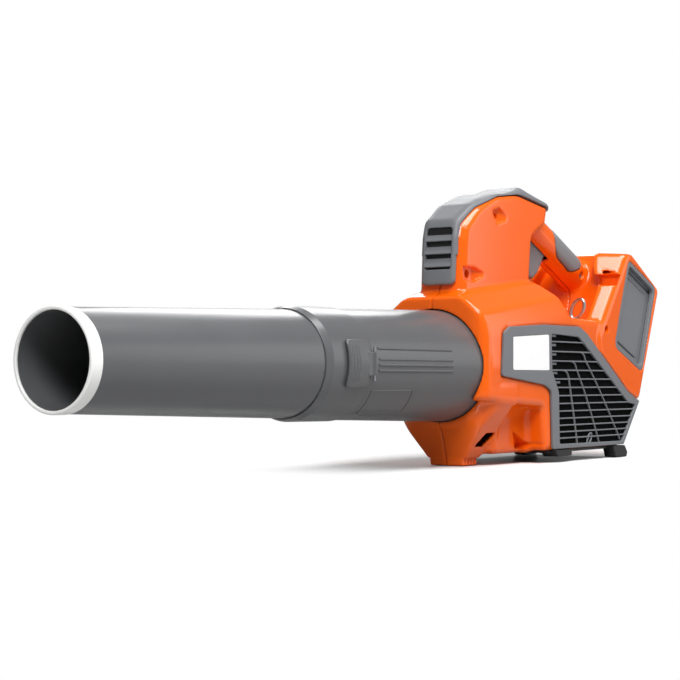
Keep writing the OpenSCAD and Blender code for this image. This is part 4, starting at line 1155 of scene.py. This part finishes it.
# %% Intake grilles and label plates
LABEL_SIDE = [[55, -4, 2], [132, -4, 2], [131, 33, 2], [55, 29, 2]]
REAR_WALL = [[313, -86, 0], [355, -38, 0], [352, -36, 0], [310, -84, 0]]
FRAME_HOLES = [VENT_SIDE, grown(LABEL_SIDE, 0.2)]

for side, name in SIDES:
    # Outlines, from and to which width, bevel: the frame, the sheet behind the label, the rear wall
    sheets = [([FRAME_SIDE, *FRAME_HOLES], 60, 63, 0.7), ([LABEL_SIDE], 60.2, 62.0, 0.1),
              ([REAR_WALL], 0.3, 62.6, 0.3)]
    parts = [on_side(side, shaded(slab("Sheet", *sheet), grey_nylon)) for sheet in sheets]
    parts.append(bars("Ribs", grille_ribs(side), 2.0, 1.5, 0.5, grey_nylon))
    parts.append(bars("Stubs", grille_stubs(side), 0.9, 2.6, 0.3, grey_nylon))
    parts.append(bars("Driver_eye", driver_eye(side), 2.0, 1.4, 0.4, grey_nylon))
    grille = together(name.capitalize() + "_grille", *parts)
    dress(grille, "machine", "grey_plastic", name + "_intake_grille")
    label = slab(name.capitalize() + "_label_plate", [LABEL_SIDE], 62.1, 63.05, 0.25)
    dress(on_side(side, shaded(label, label_white)), "machine", "label_white", name + "_label_plate")

# %% [markdown]
# Tubes and the ring are turned on the air axis. A profile with rounded corners is swept round in
# fine steps, so the lip shows a soft edge and the mouth shows the real wall.

# %% Turned pieces
TURNS = grade(144)
NOZZLE_PROFILE = [[-522, 36.8, 0], [-522, 38.6, 0], [-511.9, 38.6, 0], [-511.9, 39.3, 0.3],
                  [-253, 47.2, 30], [-137, 47.2, 0.8], [-137, 44.9, 0.8], [-253, 44.9, 30], [-502, 36.8, 10]]
RING_PROFILE = [[-524, 36.8, 1.0], [-524, 39.8, 1.3], [-512, 39.8, 0.7], [-512, 38.7, 0], [-522, 38.7, 0],
                [-522, 36.8, 0]]
OUTLET_PROFILE = [[-247, 47.5, 0.4], [-247, 48.3, 0.5], [-239, 50.6, 3], [-181, 51.2, 1.0], [-178, 50.1, 1.0],
                  [0, 55, 0], [20.3, 55, 0], [20.3, 56.7, 0], [23.8, 56.7, 0], [23.8, 54.2, 0], [30, 54.2, 0],
                  [30, 51.5, 0], [-123, 47.5, 0]]


def lathe(name, profile, material):
    path = rounded(profile)
    angles = np.linspace(0, 2 * math.pi, TURNS, endpoint=False)
    points = [[-s, r * math.cos(a), r * math.sin(a)] for s, r in path for a in angles]
    faces = []
    for i in range(len(path)):
        j = (i + 1) % len(path)
        for k in range(TURNS):
            n = (k + 1) % TURNS
            faces.append((i * TURNS + k, i * TURNS + n, j * TURNS + n, j * TURNS + k))
    made = body_mesh(name, points, faces)
    cleaned(made.data)
    return shaded(made, material)


outlet = lathe("Outlet_tube", OUTLET_PROFILE, dark_tube)
dress(lathe("Nozzle_tube", NOZZLE_PROFILE, dark_tube), "nozzle", "dark_plastic", "nozzle_tube")
dress(lathe("Nozzle_ring", RING_PROFILE, pale_ring), "nozzle", "pale_ring", "nozzle_ring")

# %% [markdown]
# The outlet tube carries four raised lines and a raised frame on its left. They are part of the
# moulding, so bars are laid on its surface and joined to it.

# %% Raised lines of the outlet tube
TUBE_STATIONS, TUBE_RADII = (-247, -239, -181, -178, 0), (48.3, 50.6, 51.2, 50.1, 55)
LINE_LEVELS, LINE_ENDS = (14, 4.4, -0.7, -5.7), (-169, -47)
FRAME_CORNERS = [(-173, -23.5), (-107, -23.5), (-101.5, -43.5), (-168, -43.5)]


def on_tube(s, h, proud=0.0):
    """Point on the left of the outlet tube at a station and a height."""
    r = float(np.interp(s, TUBE_STATIONS, TUBE_RADII)) + proud
    return world(s, math.sqrt(max(r * r - h * h, 0)), h)


lines = [([on_tube(s, h, 0.1) for s in np.linspace(*LINE_ENDS, 20)], False) for h in LINE_LEVELS]
loop = []
for (s0, h0), (s1, h1) in zip(FRAME_CORNERS, FRAME_CORNERS[1:] + FRAME_CORNERS[:1]):
    loop += [on_tube(s0 + (s1 - s0) * t, h0 + (h1 - h0) * t) for t in np.linspace(0, 1, 10, endpoint=False)]
outlet = together("Outlet_tube", outlet, bars("Raised_lines", lines, 1.8, 1.8, 0.5, dark_tube),
                  bars("Raised_frame", [(loop, True)], 1.2, 1.2, 0.4, dark_tube))
dress(outlet, "machine", "dark_plastic", "outlet_tube")

# %% [markdown]
# The latch is a curved tab that hinges on a pin beside the collar, with fine waves for the thumb.
# It hugs the tube, so it is a field too: a shell round the air axis, cut to the tab's outline.

# %% Tube latch
LATCH_PIN, KNUCKLE_R, PIN_R, KNUCKLE_HALF = (-180, 52.6), 2.2, 1.3, 10.4
TAB_ENDS, TAB_HALF, TAB_INNER, TAB_OUTER = (-220, -184), 21, 51.5, (54.6, 52.8)
WAVES_S, WAVES_HALF, WAVE_MM, WAVE_DEPTH = (-218, -203), 16, 5, 0.5
TONGUE_FRONT, TONGUE_Y = -189, (51.6, 52.9)


def latch_field(s, y, h):
    radius = np.sqrt(y ** 2 + h ** 2)
    outer = np.interp(s, TAB_ENDS, TAB_OUTER)
    waved = (s > WAVES_S[0]) & (s < WAVES_S[1]) & (np.abs(h) < WAVES_HALF)
    thumb = WAVE_DEPTH * np.cos((s - TAB_ENDS[0]) * 2 * math.pi / WAVE_MM) * waved
    shell = meet(radius - outer + thumb, TAB_INNER - radius, 0.8)
    tab = meet(shell, meet(span(s, *TAB_ENDS), np.abs(h) - TAB_HALF, 4), 1.6)
    tongue = within(span(s, TONGUE_FRONT, LATCH_PIN[0]), np.abs(h) - KNUCKLE_HALF, span(y, *TONGUE_Y))
    knuckle = within(rod(LATCH_PIN, KNUCKLE_R, s, y), np.abs(h) - KNUCKLE_HALF)
    body = join(either(tab, tongue), knuckle, 0.6)
    return cut(within(body, TONGUE_Y[0] - radius, -y), rod(LATCH_PIN, PIN_R, s, y))


latch = moulding("Tube_latch", latch_field, (177, 44, -23), (222, 56, 23), grade(0.6), dark_tube)
dress(latch, "latch", "dark_plastic", "tube_latch")

# %% [markdown]
# The battery leans in its bay, so it is drawn upright in its own frame and then leaned by the
# same 21 degrees. Its flanks show through windows in the shells, with the release pads in them.

# %% Battery
IN_BAY = Matrix.Translation((-BAY_S, 0, BAY_H)) @ Matrix.Rotation(math.radians(-BAT_TILT), 4, "Y")
PACK_BACK, PACK_FRONT, PACK_HALF = -83.4, -0.4, 56.8
RIM = oblong(-77.5, -102.5, -6.3, -9.5, 7, 6)
PAD_BED = oblong(-71.3, -94.9, -12.5, -16.1, 6, 6)
RIM_FROM, PAD_BED_FROM = 55.9, 50.3
BLADE_X, BLADE_Y, BLADE_HALF_L, BLADE_HALF_W, BLADE_TOP = -34, 12, 6.4, 1.0, -103
PAD_PIN_X, PAD_PIN_Z, PAD_PIN_REACH, PAD_PIN_R, PAD_PIN_Y = -41.9, -55.5, 28, 2, (48.8, 53.6)
THIN = grade(0.4)


def soft_box(x, y, z, low, high, radius):
    parts = [np.abs(c - (a + b) / 2) - (b - a) / 2 + radius for c, a, b in zip((x, y, z), low, high)]
    outside = np.sqrt(sum(np.maximum(p, 0) ** 2 for p in parts))
    return outside + np.minimum(within(*parts), 0) - radius


def case_field(s, y, z):
    x, width = -s, np.abs(y)
    box = soft_box(x, y, z, (PACK_BACK, -PACK_HALF, -116), (PACK_FRONT, PACK_HALF, -8), 4)
    body = cut(box, within(outline(RIM, x, z), RIM_FROM - width), 0.8)
    body = cut(body, within(outline(PAD_BED, x, z), PAD_BED_FROM - width), 0.6)
    blades = within(np.abs(x - BLADE_X) - BLADE_HALF_L, np.abs(width - BLADE_Y) - BLADE_HALF_W)
    return cut(body, within(blades, z - BLADE_TOP))


def cap_field(s, y, z):
    box = soft_box(-s, y, z, (PACK_BACK, -PACK_HALF, -7.9), (PACK_FRONT, PACK_HALF, 3), 3)
    recess = soft_box(-s, y, z, (-69.4, -40.8, -2), (-14.4, 40.8, 12), 3)
    return cut(box, recess, 1.0)


def pad_field(s, y, z):
    body = soft_box(-s, y, z, (-70.9, 53.1, -94.5), (-12.9, 56.7, -16.5), 1.6)
    pins = rod((PAD_PIN_X, PAD_PIN_REACH), PAD_PIN_R, -s, np.abs(z - PAD_PIN_Z))
    return either(body, within(pins, span(y, *PAD_PIN_Y)))


case = moulding("Battery_case", case_field, (-84, -58, -117), (1, 58, -7), grade(1.2), grey_nylon, THIN)
dress(moved(case, IN_BAY), "battery", "grey_plastic", "battery_case")
lid = moulding("Battery_lid", cap_field, (-84, -58, -9), (1, 58, 4), grade(1.2), grey_nylon, THIN)
dress(moved(lid, IN_BAY), "battery", "grey_plastic", "battery_cap")
for side, name in SIDES:
    pad = moulding(name.capitalize() + "_release_pad", pad_field, (-73, 48, -97), (-11, 58, -13),
                   grade(0.9), grey_nylon, THIN)
    dress(on_side(side, moved(pad, IN_BAY)), name + "_pad", "dark_plastic", name + "_release_pad")

# %% [markdown]
# Each window of the bay has a grey lining, which frames the battery. It is a flat ring, so a slab
# with one hole gives it at once, leaned like the bay.

# %% Window lining
LINING = [oblong(82.2, -107.4, 1.6, -1.7, 9, 7), oblong(77.2, -102.4, 6.6, -6.7, 6, 5)]
linings = [on_side(side, slab("Lining", LINING, 57.4, 62.4, 0.8, IN_BAY)) for side, _ in SIDES]
dress(shaded(together("Window_lining", *linings), grey_nylon), "machine", "grey_plastic")

# %% [markdown]
# The grip is soft rubber let into the handle, a little proud of it. It follows the handle's own
# field, so it fits everywhere. The trigger below it is a plain grey lever with a bore for its pin.

# %% Grip and trigger
TRIGGER_SIDE = [[201, 95.5, 3], [213, 102.5, 6], [222, 113, 8], [228, 121, 2], [241, 124, 1.5],
                [232, 127.5, 2], [205, 146, 6], [195, 160, 5], [180, 157, 4], [178, 143, 6], [184, 130, 8],
                [190, 113, 10], [194, 98, 3]]
TRIGGER_HALF, TRIGGER_BORE_R = 7, 2.05


def grip_field(s, y, h):
    up, along = handle_frame(s, h)
    core = handle_form(s, y, h)
    return meet(within(core - 0.6, -2.2 - core), outline(GRIP_SIDE, along, up) + 0.2, 1.4)


def trigger_field(s, y, h):
    lever = meet(outline(TRIGGER_SIDE, s, h), np.abs(y) - TRIGGER_HALF, 4)
    return cut(lever, rod(TRIGGER_PIN, TRIGGER_BORE_R, s, h))


grip = moulding("Grip_pad", grip_field, (-300, -19, 90), (-215, 19, 165), grade(0.8), grip_rubber, THIN)
dress(grip, "machine", "grip_rubber", "grip_pad")
lever = moulding("Trigger", trigger_field, (-243, -8, 94), (-176, 8, 162), grade(0.8), grey_nylon)
dress(lever, "trigger_lever", "grey_plastic", "trigger")

# %% [markdown]
# Two round keys with dished tops sit in a small black panel on the cover's rear slope. Panel and
# keys are drawn level about the panel's middle, then tilted and moved into place.

# %% Keypad
ON_KEYPAD = (Matrix.Translation((-KEYPAD_AT[0], 0, KEYPAD_AT[1]))
             @ Matrix.Rotation(math.radians(-KEYPAD_SLOPE), 4, "Y"))
KEY_STEP = grade(0.45)
# Name, material, way ahead of the panel's middle, body, slot, node
KEYS = [("Power_key", key_green, KEY_REACH, "power_key", "key_green", "power_button"),
        ("Boost_key", key_grey, -KEY_REACH, "boost_key", "grey_plastic", "boost_button")]


def keypad_field(s, y, z):
    panel = outline(oblong(-PANEL_L, -PANEL_W, PANEL_L, PANEL_W, 5, 5), -s, y)
    return cut(meet(panel, span(z, -1.6, 0.1), 0.6), rod((KEY_REACH, 0), 6.9, np.abs(s), y), 0.5)


def key_field(s, y, z):
    across = np.sqrt(s ** 2 + y ** 2)
    dish = 0.5 * np.clip(1 - (across / 5) ** 2, 0, 1)
    stem = meet(across - 6.5, span(z, -1.9, 1.6 - dish), 1.0)
    return either(stem, within(across - 7.5, span(z, -3.1, -1.9)))


panel = moulding("Keypad_panel", keypad_field, (-24, -18, -2), (24, 18, 1), KEY_STEP, black_nylon, 0.5)
dress(moved(panel, ON_KEYPAD), "machine", "black_plastic", "keypad_panel")
for name, material, ahead, body, slot_name, node in KEYS:
    key = moulding(name, key_field, (-8, -8, -4), (8, 8, 2), KEY_STEP, material)
    dress(moved(key, ON_KEYPAD @ Matrix.Translation((ahead, 0, 0))), body, slot_name, node)

# %% [markdown]
# The machine stands on the orange front leg and on two black rear feet. The base plate joins the
# feet under the intake, and two lips at its front stay clear of the floor.

# %% Base
BASE_SIDE = [[139, -90, 0], [310, -90, 0], [310, -87, 0], [139, -87, 0]]
LIP_SIDE = [[152, -94, 2], [184, -94, 2], [184, -87, 0], [146, -87, 0]]
REAR_FOOT_SIDE = [[290, -100, 2], [319, -100, 2], [321, -95, 2], [314, -87, 2], [284, -87, 0]]
BASE_HALF, LIP_Y, REAR_FOOT_Y = 57, (45, 63), (50, 64)

base_parts = [slab("Base", [BASE_SIDE], -BASE_HALF, BASE_HALF, 0.4)]
for side, _ in SIDES:
    base_parts.append(on_side(side, slab("Lip", [LIP_SIDE], *LIP_Y, 1.0)))
    base_parts.append(on_side(side, slab("Rear_foot", [REAR_FOOT_SIDE], *REAR_FOOT_Y, 1.2)))
dress(shaded(together("Base_skid", *base_parts), black_nylon), "machine", "black_plastic", "base_skid")

# %% [markdown]
# A strap hooks into a steel wire eye in front of the battery. Wire is a curve with a round bevel:
# one closed oval that leans a little, and one short stem down into the socket.

# %% Strap eye
WIRE_R, HOOP_POINTS, HOOP_H = 1.9, 48, 64
HOOP_HALF_W, HOOP_LEAN, HOOP_HALF_H = 7.4, 3.4, 10.7
STEM_LEVELS = (41.9, 53.4)

hoop = []
for i in range(HOOP_POINTS):
    a = 2 * math.pi * i / HOOP_POINTS
    across = EYE_AT[1] + HOOP_HALF_W * math.cos(a) + HOOP_LEAN * math.sin(a)
    hoop.append(world(EYE_AT[0], across, HOOP_H + HOOP_HALF_H * math.sin(a)))
stem = [world(*EYE_AT, h) for h in STEM_LEVELS]
wire = bpy.data.curves.new("Wire", "CURVE")
wire.dimensions = "3D"
wire.bevel_depth, wire.bevel_resolution = WIRE_R * MM, 5
wire.use_fill_caps = True
for points, closed in ((hoop, True), (stem, False)):
    spline = wire.splines.new("POLY")
    spline.points.add(len(points) - 1)
    for point, place in zip(spline.points, points):
        point.co = (*place, 1)
    spline.use_cyclic_u = closed
dress(shaded(placed("Strap_eye", mesh_of(wire)), steel), "eye", "steel", "strap_eyelet")

# %% [markdown]
# Five equal screws with round sockets hold the halves. One screw is drawn as rings round an axis,
# and a tree sets a copy at each place, so a change to the screw changes all five.

# %% Screws
SCREW_RINGS = [(2.0, -22), (2.0, 0), (3.8, 0), (3.8, 2.5), (3.4, 3.0), (2.2, 3.0), (2.0, 2.8), (1.9, 0.6)]
SCREW_SIDES = 24


def screw_source():
    """One screw on the Z axis in metres: its head stands on the level zero, its shank hangs below."""
    shape = bmesh.new()
    rings = []
    for radius, z in SCREW_RINGS:
        angles = np.linspace(0, 2 * math.pi, SCREW_SIDES, endpoint=False)
        rings.append([shape.verts.new((radius * MM * math.cos(a), radius * MM * math.sin(a), z * MM))
                      for a in angles])
    for low, high in zip(rings, rings[1:]):
        for k in range(SCREW_SIDES):
            n = (k + 1) % SCREW_SIDES
            shape.faces.new((low[k], low[n], high[n], high[k]))
    shape.faces.new(rings[0][::-1])
    shape.faces.new(rings[-1])
    mesh = bpy.data.meshes.new("Screw")
    shape.to_mesh(mesh)
    shape.free()
    return placed("Screw", mesh)


source = screw_source()
tree, names, given = geometry_tree("Screws_at_points", Turn=(0, 0, 0))
item = add(tree, "GeometryNodeObjectInfo", Object=source).outputs["Geometry"]
copies = add(tree, "GeometryNodeInstanceOnPoints", Points=given["Geometry"], Instance=item,
             Rotation=given["Turn"])
end_tree(tree, copies, steel)
spots = lines_object("Housing_screws", [([world(s, SEAT_Y, h)], False) for s, h in SCREWS])
screws = run_tree(spots, tree, names, Turn=(math.radians(-90), 0, 0))
bpy.data.objects.remove(source)
dress(shaded(screws, steel), "machine", "steel", "housing_screws")

# %% [markdown]
# Everything inside keeps its CAD shape, which is already right, and gets the finish of its real
# material: enamelled copper, bare aluminium, a coated board, rubber dampers.

# %% Inner pieces
FINISHES = {
    black_nylon: ["fan_duct", "tail_cone", "inlet_bell", "trigger_switch", "terminal_block"],
    black_rubber: ["front_damper", "rear_damper", "motor_leads", "battery_leads"],
    dark_tube: ["axial_fan"],
    screen_mesh: ["left_intake_screen", "right_intake_screen"],
    steel: ["trigger_pin", "trigger_spring", "latch_pin", "motor_rotor", "motor_shaft", "front_bearing",
            "rear_bearing", "fan_nut"],
    aluminium: ["heat_sink"],
    copper: ["motor_stator"],
    board: ["control_board"],
    sleeve: ["battery_cells"],
}
for material, nodes in FINISHES.items():
    for node in nodes:
        mesh = frame["nodes"][node].data
        mesh.materials.clear()
        mesh.materials.append(material)
print("inner pieces", sum(len(nodes) for nodes in FINISHES.values()))
